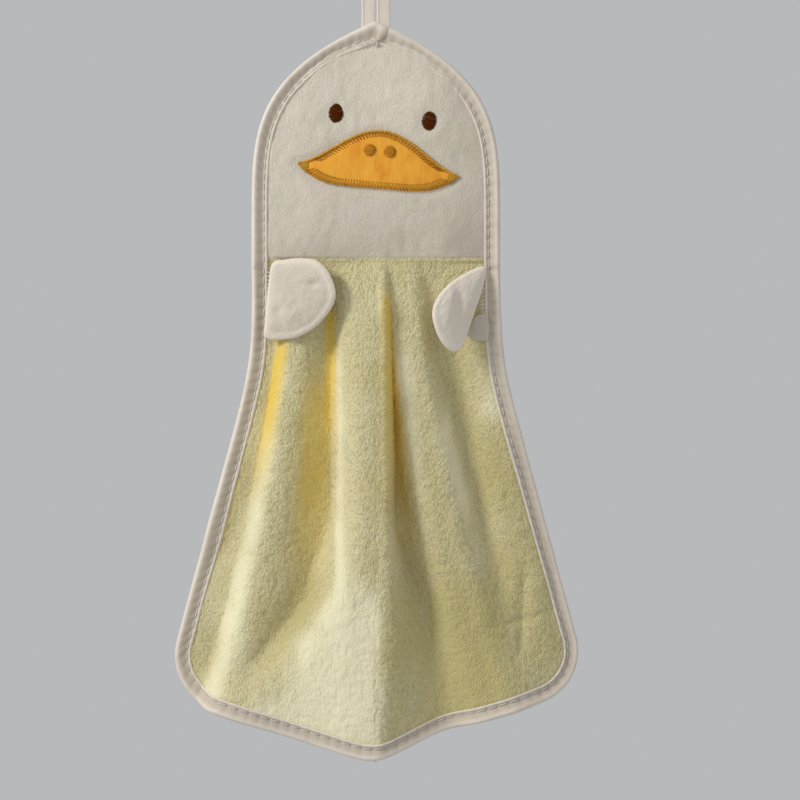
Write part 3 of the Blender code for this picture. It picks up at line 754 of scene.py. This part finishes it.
def cream_tape(slot, colours):
    """Plain weave of two crossed waves with a painted highlight on its tops, worn patches, and painted shade
    in the grooves.
    """
    finish = Finish(slot, roughness=0.9, sheen=0.05)
    place = finish.cloth()
    warp, weft = finish.wave(place, 0.00055, "X"), finish.wave(place, 0.00055, "Y")
    weave = warp * weft + (1 - warp) * (1 - weft)
    slub = finish.noise(finish.cloth(0.3, 1), 0.0012)
    worn = finish.limits(finish.noise(place, 0.018, 3.0, 0.6), 0.4, 0.75)
    colour = finish.mix(worn * 0.25 + slub * 0.12, colours.tape, colours.tape_wear_and_shade)
    # painted shade along the stitching's groove
    colour = finish.mix(finish.value("groove") * 0.75, colour, colours.tape_wear_and_shade)
    # painted highlight on the tops of the weave
    colour = finish.mix(weave * 0.1, colour, colours.tape_weave_highlight)
    return finish.done(colour, weave * 0.5 + slub * 0.7, 0.00016)


def orange_felt(slot, colours):
    finish = Finish(slot, roughness=0.95, sheen=0.04, specular=0.1)
    patch = finish.noise(finish.cloth(1, 0.6), 0.013)
    streak = finish.noise(finish.cloth(1, 0.16), 0.0016, 3.0, 0.6)
    fibre = finish.noise(finish.cloth(1, 0.5), 0.00045)
    colour = finish.mix(finish.limits(patch, 0.45, 0.7) * 0.8, colours.felt, colours.felt_patch)
    colour = finish.mix(finish.limits(streak, 0.42, 0.72) * 0.35, colour, colours.felt_streak)
    return finish.done(colour, streak * 0.6 + fibre * 0.5, 0.00022)


def thread(slot, colours):
    """Two-ply thread: painted shade in the diagonal grooves between the plies; the value "dark" leads to the
    darkest.
    """
    finish = Finish(slot, roughness=THREAD_ROUGHNESS[slot], specular=0.03)
    ply = finish.wave(finish.cloth(1, 0.5), 0.00075, "DIAGONAL")
    fibre = finish.noise(finish.cloth(1, 3), 0.0006)
    colour = tuple(getattr(colours, slot))
    # painted shade in the grooves between the plies
    between = tuple(0.62 * channel for channel in colour)
    mixed = finish.mix(finish.limits(1 - ply, 0.4, 0.95) * 0.55 + fibre * 0.2, colour, between)
    mixed = finish.mix(finish.value("dark"), mixed, colours.thread_dark)
    return finish.done(mixed, ply * 0.8 + fibre * 0.3, 0.00012)


THREAD_ROUGHNESS = {"cream_thread": 0.6, "orange_thread": 0.45, "gold_thread": 0.45, "brown_thread": 0.5}
CLOTHS = {"yellow_fleece": yellow_fleece, "white_plush": white_plush, "cream_tape": cream_tape,
          "orange_felt": orange_felt}
PREFIX = "towel_"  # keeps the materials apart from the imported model's, which are named as the slots


def material(slot):
    """The slot's material, built on its first use only."""
    return bpy.data.materials.get(PREFIX + slot) or CLOTHS.get(slot, thread)(
        slot, bpy.context.scene.towel_colours)


# The head's and the skirt's bodies and two points above and below the seam, given as the bend of pieces that
# cross the seam; add_piece does not read them
AT_SEAM = ("head", "skirt", (0, 0, SEAM_Z + 0.007), (0, 0, SEAM_Z - 0.009))


# Pieces


class TOWEL_OT_stage(bpy.types.Operator):
    """Adds the floor, the pale surroundings, the lamps and the camera"""

    bl_idname = "towel.stage"
    bl_label = "Stage"

    def execute(self, context):
        scene = context.scene
        turn = np.linspace(0, 2 * math.pi, 64, endpoint=False)
        radius = np.linspace(0.01, 1.5, 12)[:, None]
        disc = joined(radius * np.cos(turn), radius * np.sin(turn), -1.0)
        mesh = make_mesh("floor", disc, np.zeros((12, 65, 2)), wrap=True, facing=(0, 0, 1))
        pale = Finish("pale_floor", roughness=0.9)
        grain = pale.noise(pale.node("ShaderNodeTexCoord", None, None, 3), 0.2)
        colour = pale.mix(grain, (0.62, 0.63, 0.64), (0.66, 0.67, 0.68))
        mesh.materials.append(pale.done(colour, grain, 0.0005))
        floor = bpy.data.objects.new("floor", mesh)
        scene.collection.objects.link(floor)

        world = bpy.data.worlds.new("pale_room")
        world.use_nodes = True
        background = world.node_tree.nodes["Background"]
        background.inputs["Color"].default_value = (0.475, 0.485, 0.495, 1)
        background.inputs["Strength"].default_value = 1.0
        scene.world = world
        scene.view_settings.view_transform = "Standard"

        target = Vector((0, 0, -0.28))
        # name, place, size, watts and tint of each lamp
        for name, place, size, energy, tint in (
                ("window", (-1.1, -0.66, 0.42), 0.36, 13.0, (1.0, 0.985, 0.955)),
                ("room", (0.4, -1.4, 0.2), 1.2, 1.0, (0.95, 0.97, 1.0)),
                ("behind", (0.5, 1.2, 0.5), 0.7, 6.0, (1.0, 0.985, 0.96))):
            lamp = bpy.data.lights.new(name, "AREA")
            lamp.size, lamp.energy, lamp.color = size, energy, tint
            holder = bpy.data.objects.new(name, lamp)
            holder.location = place
            away = Vector(place) - target
            holder.rotation_euler = away.to_track_quat("Z", "Y").to_euler()
            scene.collection.objects.link(holder)

        camera = bpy.data.cameras.new("camera")
        camera.sensor_width, camera.lens = 36.0, 71.5
        camera.clip_start, camera.clip_end = 0.01, 50
        holder = bpy.data.objects.new("camera", camera)
        holder.location = (0.0136, -0.9, -0.2845)
        holder.rotation_euler = (math.pi / 2, 0, 0)
        scene.collection.objects.link(holder)
        scene.camera = holder
        return {"FINISHED"}


class TOWEL_OT_loop(bpy.types.Operator):
    """Adds the hanging loop and the bar tack that holds its ends"""

    bl_idname = "towel.loop"
    bl_label = "Hanging loop"

    def execute(self, context):
        spine, across, through = self.line()
        turn = np.linspace(0, 2 * math.pi, 28, endpoint=False)
        wide = np.sign(np.cos(turn)) * np.abs(np.cos(turn)) ** 0.45
        thick = np.sign(np.sin(turn)) * np.abs(np.sin(turn)) ** 0.7
        selvedge = 1 + 0.45 * bell(np.abs(wide), 0.86, 0.09) - 0.15 * (np.abs(wide) < 0.7)
        length = lengths_along(spine)
        half_width = TAPE_WIDTH / 2 * 0.96 * (1 + 0.03 * soft_noise(length, 0, 0.006, 21))[:, None, None]
        points = (spine[:, None] + half_width * wide[:, None] * across[:, None]
                  + TAPE_THICKNESS / 2 * (selvedge * thick)[:, None] * through[:, None])
        around = np.append(wide, wide[-1]) * TAPE_WIDTH / 2 + 0.01
        # painted shade in the grooves inside the tape's raised selvedges
        groove = 0.55 * bell(np.abs(wide), 0.66, 0.12)
        mesh = make_mesh("hanging_tape", points, joined(length[:, None], around), wrap=True, caps=True,
                         values={"groove": groove})
        add_piece(mesh, "cream_tape", ["hanging_loop"],
                  bend=("loop", "head", (0, 0, -0.066), (0, 0, -0.074)))
        self.tack()
        return {"FINISHED"}

    def line(self):
        """Half turn over the hook and two legs that close up by a smoothstep while they twist a quarter turn,
        with the tape's width and thickness directions at each point."""
        centre_radius = LOOP_RADIUS + TAPE_THICKNESS / 2
        leg_x = TAPE_WIDTH / 2 + 0.0003
        turn = np.linspace(0, math.pi / 2, 30)
        arc = joined(centre_radius * np.sin(turn), centre_radius * np.cos(turn) - LOOP_RADIUS)
        z = np.linspace(-LOOP_RADIUS, -LOOP_DROP - 0.0055, 75)[1:]
        q = smoothstep(TWIST_TOP, TWIST_BOTTOM, -z)
        right = np.concatenate([arc, joined(centre_radius + (leg_x - centre_radius) * q, z)])
        facing = np.concatenate([np.zeros(len(arc)), q]) * math.pi / 2
        path = np.concatenate([(right * (-1, 1))[:0:-1], right])
        facing = np.concatenate([facing[:0:-1], facing])[:, None]
        along = unit(np.gradient(path, axis=0))
        outward = joined(-along[:, 1], 0, along[:, 0])
        across = np.cos(facing) * np.array([0, 1, 0]) + np.sin(facing) * outward
        through = np.cross(joined(along[:, 0], 0, along[:, 1]), across)
        return joined(path[:, 0], 0, path[:, 1]), across, through

    def tack(self):
        """Zigzag thread behind the head's tip, across both of the loop's ends."""
        x = np.linspace(-0.0095, 0.0095, 26)
        z = -LOOP_DROP - 0.0075 + 0.0011 * (-1) ** np.arange(26)
        points = joined(x, HEAD_HALF_THICKNESS + BINDING_WALL + 0.0007, z)
        sew("loop_tack", "cream_thread", ["loop_bar_tack"], points[:-1], points[1:], (0, 1, 0), 0.0003,
            0.0003)


class TOWEL_OT_head(bpy.types.Operator):
    """Adds the head's front and back plush"""

    bl_idname = "towel.head"
    bl_label = "Head"

    def execute(self, context):
        for word, facing, count in (("front", -1, 190), ("back", 1, 130)):
            mesh = self.panel(context.scene.towel_sizes, f"head_{word}_plush", facing, count)
            made = add_piece(mesh, "white_plush", [f"head_{word}_panel"], bend=AT_SEAM)
        return {"FINISHED"}

    def panel(self, sizes, name, facing, count):
        """Rows run straight down from just under the tip, columns spread with the arch. Near the seam the
        cloth rolls under in a quarter circle. Nap is noise of two sizes along the normal; the binding and, in
        front, the beak's edge press it flat."""
        roll = 0.0026
        down = np.linspace(0.0035, HEAD_HEIGHT - 0.0012 + roll * 0.3, count)
        u = np.linspace(-1, 1, count)
        straight = HEAD_HEIGHT - 0.0016 - roll
        angle = np.clip((down - straight) / roll, 0, math.pi / 2)
        drop = np.where(down > straight, straight + roll * np.sin(angle), down)[:, None]
        tuck = (roll * 0.8 * (1 - np.cos(angle)))[:, None]
        x = u * (head_half_width(drop) - 0.0012)
        path = joined(x, drop)
        y = head_surface(path, sizes.head_crown) if facing < 0 else HEAD_HALF_THICKNESS
        nap = 0.6 * soft_noise(x, drop * 0.7, 0.0042, 3) + 0.5 * tufted(x, drop * 0.8, 0.0026, 4) + 0.2
        wide = 0.00035 * soft_noise(x, drop, 0.019, 6) + 0.00025 * soft_noise(x, drop, 0.009, 7)
        inside = smoothstep(0.0075, 0.0105, head_half_width(drop) - np.abs(x))
        inside = inside * smoothstep(0.01, 0.018, drop)
        pressed = bell(beak_distance(path), 0, 0.0036, 4) if facing < 0 else 0
        free = (0.15 + 0.85 * inside) * (1 - 0.9 * pressed)
        y = y + facing * ((nap * sizes.plush_nap * 1.6 + wide + 0.0002) * free - tuck)
        shade = (0.36 * smoothstep(0.095, 0.137, drop) + 0.4 * smoothstep(0.015, 0.065, x)
                 + 0.1 * soft_noise(x, drop * 0.8, 0.016, 8) + 0.07 * soft_noise(x, drop * 0.6, 0.007, 9))
        light = 0.42 * bell(x, 0.004, 0.024) * bell(drop, 0.036, 0.038) + 0.16 * bell(x, -0.048, 0.016)
        return make_mesh(name, joined(x, y, -LOOP_DROP - drop), joined(x + 0.1, 0.15 - down[:, None]),
                         facing=(0, facing, 0), values={"shade": np.clip(shade, 0, 1), "light": light})


class TOWEL_OT_binding(bpy.types.Operator):
    """Adds the tape that binds the whole edge and its row of stitches"""

    bl_idname = "towel.binding"
    bl_label = "Edge binding"

    # Section of the rolled tape in front, in millimetres: distance in from the edge, height over the cloth
    FRONT = ((9.25, 0.15), (9.3, 0.8), (9.00, 1.22), (8.55, 1.32), (8.05, 1.1), (7.55, 0.62), (7.05, 0.32),
             (6.5, 0.42), (5.75, 0.75), (4.95, 1.14), (4.15, 1.56), (3.35, 1.98), (2.6, 2.32), (1.9, 2.42),
             (1.3, 2.15), (0.75, 1.45), (0.3, 0.35))

    def execute(self, context):
        sizes = context.scene.towel_sizes
        add_piece(self.tape(sizes), "cream_tape",
                  ["head_binding_left", "head_binding_right", "skirt_binding"], bend=AT_SEAM)
        add_piece(self.stitching(sizes), "cream_thread",
                  ["head_binding_stitching", "skirt_binding_stitching"], bend=AT_SEAM)
        self.back_tack()
        return {"FINISHED"}

    def section(self, half_cloth):
        """Closed section, (points, 2): the front leg, the nose and the flatter back leg."""
        inset, height = np.array(self.FRONT).T * 1e-3
        nose = [(0.0001, -0.45 * half_cloth), (0.0001, 0.45 * half_cloth)]
        return np.concatenate([joined(inset, -half_cloth - height), nose,
                               joined(inset[::-1], half_cloth + height[::-1] * 0.62)])

    def tape(self, sizes):
        """The section carried round the towel. Every stitch pulls a dimple into the groove, the tape's puff
        wavers along its length, and near the head's tip the tape widens; its last end laps over its first."""
        section = self.section(HEAD_HALF_THICKNESS)
        inset, off = section.T
        curves = np.stack([outline(depth) for depth in inset], axis=1)
        edge = outline(0)
        length = lengths_along(edge)[:, None]
        total = length[-1, 0]
        from_tip = np.minimum(length, total - length)
        widen = 1 + 0.3 * bell(from_tip, 0, 0.018)
        curves = edge[:, None] + (curves - edge[:, None]) * widen[..., None]
        curves[[0, -1], :, 0] = 0
        thin = smoothstep(HEAD_HEIGHT - 0.006, HEAD_HEIGHT + 0.006, edge[:, 1:])
        thinner = (HEAD_HALF_THICKNESS - FLEECE_HALF_THICKNESS) * thin * (np.abs(off) > 0.001)
        off = off - np.sign(off) * thinner
        pull = np.cos(math.pi * length / sizes.stitch_pitch) ** 8
        groove, band, lip = (bell(inset, middle, half_width) for middle, half_width in (
            (STITCH_INSET, 0.0009), (0.0049, 0.0019), (0.0086, 0.0006)))
        puff = sizes.binding_puff / 0.0009 * (
            0.1 * band * soft_noise(length, 0, 0.011, 31)
            + 0.16 * band * soft_noise(length, inset * 2, 0.0045, 32)
            + 0.1 * lip * soft_noise(length, 0, 0.004, 33))
        notch = bell(edge[:, 1:], HEAD_HEIGHT + 0.003, 0.0012) * (inset > 0.0012) * (inset < 0.0068)
        dent = pull * (0.18 * groove + 0.5 * band + 0.3 * lip) + 0.55 * notch
        off = off + np.sign(off) * (puff - dent) * 1e-3
        shade = np.clip(groove + 0.88 * band + dent * 0.5, 0, 1) * (np.abs(off) > 0.001)

        q = np.linspace(0, 1, 9)[1:, None]
        end_line = np.array([0.0088, 0.0042]) + (inset / 0.0088)[:, None] * np.array([-0.0078, 0.0108])
        flat = (1 - q[..., None]) * curves[-1] + q[..., None] * end_line
        raised = off[-1] + np.sign(section[:, 1]) * 0.0011 * smoothstep(0, 0.6, q)
        lapped = towel_surface(flat, raised * (1 - 0.25 * q**6))
        points = np.concatenate([towel_surface(curves, off), lapped])
        shade = np.concatenate([shade, np.repeat(shade[-1:], len(q), axis=0)])
        length = np.concatenate([length, total + 0.009 * q])
        around = lengths_along(section)
        around = np.append(around, around[-1] + 0.003)
        return make_mesh("edge_binding", points, joined(length, around), wrap=True, caps=True,
                         values={"groove": shade})

    def stitching(self, sizes):
        """Dashes in the groove, in front and behind: each spans most of the pitch between two dimples."""
        path = outline(STITCH_INSET)
        length = lengths_along(outline(0))
        half = np.where(path[:, 1] > HEAD_HEIGHT, FLEECE_HALF_THICKNESS, HEAD_HALF_THICKNESS)
        first = np.arange(2, int(length[-1] / sizes.stitch_pitch) - 1) * sizes.stitch_pitch
        at = first[:, None] + sizes.stitch_pitch * np.linspace(0.08, 0.92, 8)
        t = np.linspace(-1, 1, 8)[:, None]
        lines, ups = [], []
        for facing in (-1, 1):
            place = towel_surface(path, facing * (half + 0.00052))
            above = unit(towel_surface(path, facing * (half + 0.00152)) - place)
            centres, up = (joined(*(np.interp(at, length, column) for column in line.T))
                           for line in (place, above))
            lines.append(centres + up * (0.00028 * (1 - t**4) - 0.0003 * t**4))
            ups.append(up)
        radius = sizes.stitch_radius * (1 - 0.5 * np.abs(t[:, 0]) ** 5) * np.ones((2 * len(first), 1))
        return thread_mesh("binding_stitches", np.concatenate(lines), np.concatenate(ups), radius,
                           sizes.stitch_pitch)

    def back_tack(self):
        """Loose zigzag of thread over the lapped end, sewn forwards and back."""
        along = np.linspace(0, 1, 13)
        zig = 0.0011 * (-1.0) ** np.arange(13) * (0.5 + 0.5 * np.sin(along * 9) ** 2)
        drop = 0.0143 - 0.004 * along + zig
        points = joined(-0.01 + 0.0125 * along, -HEAD_HALF_THICKNESS - 0.0024, -LOOP_DROP - drop)
        sew("binding_back_tack", "cream_thread", (), points[:-1], points[1:], (0, -1, 0), 0.0004, 0.0003)


class TOWEL_OT_face(bpy.types.Operator):
    """Adds the felt beak, its stitching, the nostrils and the eyes"""

    bl_idname = "towel.face"
    bl_label = "Face"

    def execute(self, context):
        crown = context.scene.towel_sizes.head_crown
        self.felt(crown)
        self.beak_stitches(crown)
        for word, side in (("left", -1), ("right", 1)):
            self.satin(crown, "eye_" + word, (side * EYE_SPREAD, EYE_RISE), (0.0083, 0.0106), 0.00031, 0.0003,
                       "brown_thread", 40 + side)
            self.satin(crown, "nostril_" + word, (side * NOSTRIL_SPREAD, NOSTRIL_RISE), (0.0065, 0.0065),
                       0.00034, 0.0015, "gold_thread", 60 + side)
        return {"FINISHED"}

    def place(self, flat, crown, height):
        """Points of the face at a height in front of the head's cloth."""
        path = on_face(flat)
        return joined(path[..., 0], head_surface(path, crown) - height, -LOOP_DROP - path[..., 1])

    def felt(self, crown):
        """Closed lens: rings from the middle to the outline in front and back again behind. Its front rises
        over an eighth-power edge and wavers a little."""
        upper, lower = beak_line(0.0002, 120)
        line = np.concatenate([upper, lower[-2:0:-1]])
        flat, r, turned = lens(line, (0, -0.001), 75, 0.03)
        x, z = flat[..., 0], flat[..., 1]
        pile = 0.00012 * soft_noise(x, z * 0.4, 0.0016, 51) + 0.00022 * soft_noise(x, z, 0.008, 52)
        rise = 0.0011 * (1 - r**8) + pile * (1 - r**4)
        height = np.where(turned > 0, 0.00025 + rise, -0.0002)
        uv = joined(round_again(x) + 0.06, round_again(z) + 0.06)
        mesh = make_mesh("beak_felt", self.place(flat, crown, height), uv, wrap=True, caps=True)
        add_piece(mesh, "orange_felt", ["beak_patch"], body="head")

    def beak_stitches(self, crown):
        """Along the upper edge a dense corded outline and, inside it, upright ticks side by side. Along the
        lower edge an outer row of dark loops round the felt's edge and an inner row of holes. Satin in both
        corners."""
        # edge, outer and inner inset, pitch, slant in pitches, radius, darkness, share left out at each end
        rows = (
            (0, -0.0004, 0.001, 0.00058, 0.2, 0.0003, 0.2, 0.02),
            (0, 0.0008, 0.0037, 0.0019, 0.0, 0.00021, 1.00, 0.07),
            (1, 0.0008, 0.0033, 0.0019, 0.4, 0.00036, 0.05, 0.05),
            (1, 0.0000, 0.0013, 0.0019, 0.0, 0.00032, 0.62, 0.03),
            (1, 0.003, 0.0038, 0.0019, 0.0, 0.0003, 0.65, 0.06),
        )
        starts, ends, radii, darks = [], [], [], []
        for which, outer, inner, pitch, slant, radius, dark, left_out in rows:
            outer_line, inner_line = (spaced(beak_line(inset, 200)[which], 900) for inset in (outer, inner))
            last = len(outer_line) - 1
            step = pitch / BEAK_EDGE
            at = np.arange(left_out, 1 - left_out, step)
            starts.append(outer_line[(at * last).astype(int)])
            ends.append(inner_line[np.minimum((at + slant * step) * last, last).astype(int)])
            radii += [radius] * len(at)
            darks += [dark] * len(at)
        for side in (-1, 1):
            u = np.linspace(0.87, 0.985, 16)
            across = side * BEAK_HALF_LENGTH * u
            top = BEAK_RISE * np.cos(u * math.pi / 2) ** BEAK_POWER
            starts.append(joined(across, top + 0.0002))
            ends.append(joined(across + side * 0.0004, -BEAK_SAG * (1 - u**5) - 0.0002))
            radii += [0.00029] * len(u)
            darks += [0.4] * len(u)
        starts, ends = np.concatenate(starts), np.concatenate(ends)
        random = np.random.default_rng(9)
        starts = starts + random.normal(0, 0.00009, starts.shape)
        ends = ends + random.normal(0, 0.00009, ends.shape)
        darks = np.clip(np.array(darks) + random.normal(0, 0.08, len(darks)), 0, 1)
        sew("beak_stitches", "orange_thread", ["beak_edge_stitching"], self.place(starts, crown, 0.001),
            self.place(ends, crown, 0.0012), (0, -1, 0), 0.00035, np.array(radii)[:, None], dark=darks)

    def satin(self, crown, node, centre, size, pitch, height, slot, seed):
        """An oval filled with level threads side by side, each as long as the oval is wide there plus a
        random overhang, domed towards the middle."""
        count = int(size[1] / pitch)
        z = np.linspace(-0.97, 0.97, count)
        reach = np.sqrt(1 - z**2) * size[0] / 2
        random = np.random.default_rng(seed)
        loose = random.uniform(-0.0001, 0.00045, (2, count))
        slope = random.normal(0, 0.00012, (2, count))
        rows = centre[1] + z * size[1] / 2
        left = joined(centre[0] - reach - loose[0], rows + slope[0])
        right = joined(centre[0] + reach + loose[1], rows + slope[1])
        lift = 0.0004 + 0.0005 * np.sqrt(1 - z**2)
        first, last = self.place(left, crown, height), self.place(right, crown, height)
        sew(node + "_stitches", slot, [node], first, last, (0, -1, 0), lift, pitch * 0.62, stations=11)


class TOWEL_OT_skirt(bpy.types.Operator):
    """Adds the gathered fleece skirt, its front and back pile, and the seam that joins it to the head"""

    bl_idname = "towel.skirt"
    bl_label = "Skirt"

    def execute(self, context):
        sizes = context.scene.towel_sizes
        meshes = (self.pile("skirt_fleece_front", sizes, -1, 290, 318),
                  self.pile("skirt_fleece_back", sizes, 1, 220, 240))
        for mesh in meshes:
            made = add_piece(mesh, "yellow_fleece", ["skirt_panel"], bend=AT_SEAM)
        self.seam()
        return {"FINISHED"}

    def pile(self, name, sizes, facing, rows, columns):
        """Rows spread from the seam to the corners and the hem as shares of the way down. Across each row the
        columns stand at equal distances along the folded surface. Tufts and noise lift the pile along the
        surface's normal, and it thins out under the binding."""
        hidden = 0.0014  # the pile's edge inside the binding
        lower = bottom_edge()
        inside = lower + hidden * inward_normals(lower)
        inside[-1] = (0, SKIRT_LENGTH - hidden)
        hem = spaced(mirrored(inside), 620)
        middle = len(hem) // 2
        top = -0.003
        drop = top + (hem[:, 1] - top) * np.linspace(0, 1, rows)[:, None]
        x = hem[:, 0] * (side_half_width(drop) - hidden) / (side_half_width(hem[:, 1]) - hidden)
        place = joined(x, folds(x, drop), -drop)
        run = np.stack([lengths_along(line) for line in place])
        even = np.linspace(0, 1, columns) * run[:, -1:]
        x, drop = (np.stack([np.interp(e, r, line) for e, r, line in zip(even, run, lines)])
                   for lines in (x, drop))
        u = even - run[:, middle, None] + 0.2
        v = lengths_along(place[:, middle])[:, None] * (drop / drop[:, columns // 2, None])
        path = joined(x, drop)
        side = half_outline(0)[100::3]
        edge = np.concatenate([side, side * (-1, 1)]) - (0, HEAD_HEIGHT)
        inside = smoothstep(0.0072, 0.0104, distance_to(path, edge))
        tuft = tufted(u, v * 0.85, sizes.fleece_tuft, 71)
        loose = soft_noise(u, v, sizes.fleece_tuft * 1.5, 72)
        clump = soft_noise(u, v * 0.7, 0.0075, 73)
        nap = 0.35 + 0.6 * tuft + 0.22 * loose + 0.14 * clump
        lift = sizes.fleece_nap * np.maximum(nap, 0) * (0.12 + 0.88 * inside)
        points = skirt_surface(path, facing * (FLEECE_HALF_THICKNESS - 0.0002 + lift))
        values = {"tuft": tuft * inside}
        # in front, painted gold bounce light in the valleys and painted light and shade along the folds;
        # behind, random tone only
        if facing < 0:
            values.update(fold=valley_bounce_light(x, drop), brush=painted_light_and_tone(x, drop))
        else:
            values["brush"] = 0.3 * soft_noise(x, drop, 0.02, 93)
        return make_mesh(name, points, joined(u, v), facing=(0, facing, 0), values=values)

    def seam(self):
        """Overlocked seam along the head's foot: slanting wraps of thread side by side round its line."""
        x = np.linspace(-HEAD_HALF_WIDTH + 0.0075, HEAD_HALF_WIDTH - 0.0075, 150)[:, None]
        t = np.linspace(-0.35, math.pi + 0.35, 8)
        radius = 0.0017
        centres = joined(x + 0.0005 * t / math.pi, radius * np.cos(t) + 0.0004,
                         SEAM_Z - 0.0006 - radius * 0.75 * np.sin(t))
        up = unit(joined(0, centres[..., 1], centres[..., 2] - SEAM_Z + 1e-6))
        mesh = thread_mesh("seam_overlocking", centres, up, np.full(centres.shape[:2], 0.00034), 0.006)
        add_piece(mesh, "cream_thread", ["seam_overlock"], bend=AT_SEAM)


class TOWEL_OT_wings(bpy.types.Operator):
    """Adds the two stuffed wings and the stitches along their roots"""

    bl_idname = "towel.wings"
    bl_label = "Wings"

    def execute(self, context):
        for word in ("left", "right"):
            self.wing(context.scene.towel_sizes, word)
            self.root(word)
        self.wing(context.scene.towel_sizes, "right_root")
        return {"FINISHED"}

    def wing(self, sizes, word):
        """Closed pillow: rings from the middle to the outline in front and back again behind. Half its
        thickness is a cosine rim plus a cubed puff, with a turned roll near the outline, dents and nap."""
        inward, free = (1 if word == "left" else -1), not word.endswith("root")
        line = smooth_ring(np.array(WING_OUTLINES[word]) * 1e-3, 150)
        flat, r, turned = lens(line, line.mean(axis=0), 91, 0.02)
        run, drop = flat[..., 0], flat[..., 1]
        side = np.where(turned > 0, 1, -1)
        roll = 0.00022 * bell(r, 0.92, 0.05) - 0.00012 * bell(r, 0.8, 0.06)
        uneven = 1 + 0.15 * soft_noise(run, drop, 0.01, 81)
        puff = sizes.wing_puff * (1 if free else 0.2) * (1 - r**3) * uneven
        nap = sizes.plush_nap * (soft_noise(run, drop, 0.003, 82) + 0.7 * tufted(run, drop, 0.0022, 83))
        half = (0.0017 if free else 0.001) * turned + side * (puff + roll + nap * (1 - r**12))
        for dent in WING_DENTS[word]:
            at_run, at_drop, half_run, half_drop, depth = np.array(dent) * 1e-3
            half = half - (turned > 0) * depth * bell(run, at_run, half_run) * bell(drop, at_drop, half_drop)
        lift = math.radians(WING_LIFTS[word])
        curl = WING_CURLS[word] * (run / 0.035) ** 2
        x = run * math.cos(lift) - half * math.sin(lift)
        y = WING_AXIS_Y - run * math.sin(lift) - half * math.cos(lift) - curl
        points = joined(inward * (x - WING_ROOT_X), y, SEAM_Z - drop)
        uv = joined(round_again(side * 0.05 + 0.06 + run * 0.9), round_again(0.06 - drop))
        rim = bell(r, 0.93, 0.08)
        light = free * (0.45 * rim + (0.05 if inward > 0 else 0.7))
        values = {"light": np.clip(light, 0, 1), "shade": 0.22 * (1 - rim) * (1 - r**4) + (not free) * 0.3}
        mesh = make_mesh(f"wing_{word}_plush", points, uv, wrap=True, caps=True, values=values)
        root = -inward * WING_ROOT_X
        if free:
            bend = ("skirt", f"wing_{word}", (root, 0, SEAM_Z), (root + inward * 0.007, 0, SEAM_Z))
            made = add_piece(mesh, "white_plush", [f"wing_{word}_front", f"wing_{word}_back"], bend=bend)
        else:
            made = add_piece(mesh, "white_plush", body="skirt")

    def root(self, word):
        """Overcast stitches down the wing's root."""
        side = -1 if word == "left" else 1
        drop = WING_ROOT_TOP + np.linspace(0.0005, WING_ROOT_LENGTH - 0.0005, 17)
        back = folds(side * 0.0615, drop) - FLEECE_HALF_THICKNESS - 0.0006
        outer = joined(side * 0.0622, back, SEAM_Z - drop)
        inner = joined(side * 0.0592, WING_AXIS_Y - 0.0016, SEAM_Z - drop - 0.0008)
        sew(f"wing_{word}_root_stitches", "cream_thread", [f"wing_{word}_root_stitching"], outer, inner,
            (0, -1, 0), 0.0002, 0.00024, body="skirt")


class TOWEL_PT_panel(bpy.types.Panel):
    """Lists the towel's pieces in the sidebar"""

    bl_idname = "TOWEL_PT_panel"
    bl_label = "Duck Hand Towel"
    bl_space_type = "VIEW_3D"
    bl_region_type = "UI"
    bl_category = "Towel"

    def draw(self, context):
        for operator in OPERATORS:
            self.layout.operator(operator.bl_idname)
        for group in (context.scene.towel_sizes, context.scene.towel_colours):
            column = self.layout.column()
            for name in group.bl_rna.properties.keys()[2:]:  # after the two every group has
                column.prop(group, name)


OPERATORS = (TOWEL_OT_stage, TOWEL_OT_loop, TOWEL_OT_head, TOWEL_OT_binding, TOWEL_OT_face, TOWEL_OT_skirt,
             TOWEL_OT_wings)
CLASSES = (TowelSizes, TowelColours, *OPERATORS, TOWEL_PT_panel)


def register():
    for item in CLASSES:
        bpy.utils.register_class(item)
    bpy.types.Scene.towel_sizes = bpy.props.PointerProperty(type=TowelSizes)
    bpy.types.Scene.towel_colours = bpy.props.PointerProperty(type=TowelColours)


def unregister():
    del bpy.types.Scene.towel_colours
    del bpy.types.Scene.towel_sizes
    for item in reversed(CLASSES):
        bpy.utils.unregister_class(item)


def main():
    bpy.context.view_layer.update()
    register()
    for operator in OPERATORS:
        group, name = operator.bl_idname.split(".")
        getattr(getattr(bpy.ops, group), name)()


if __name__ == "__main__":
    main()
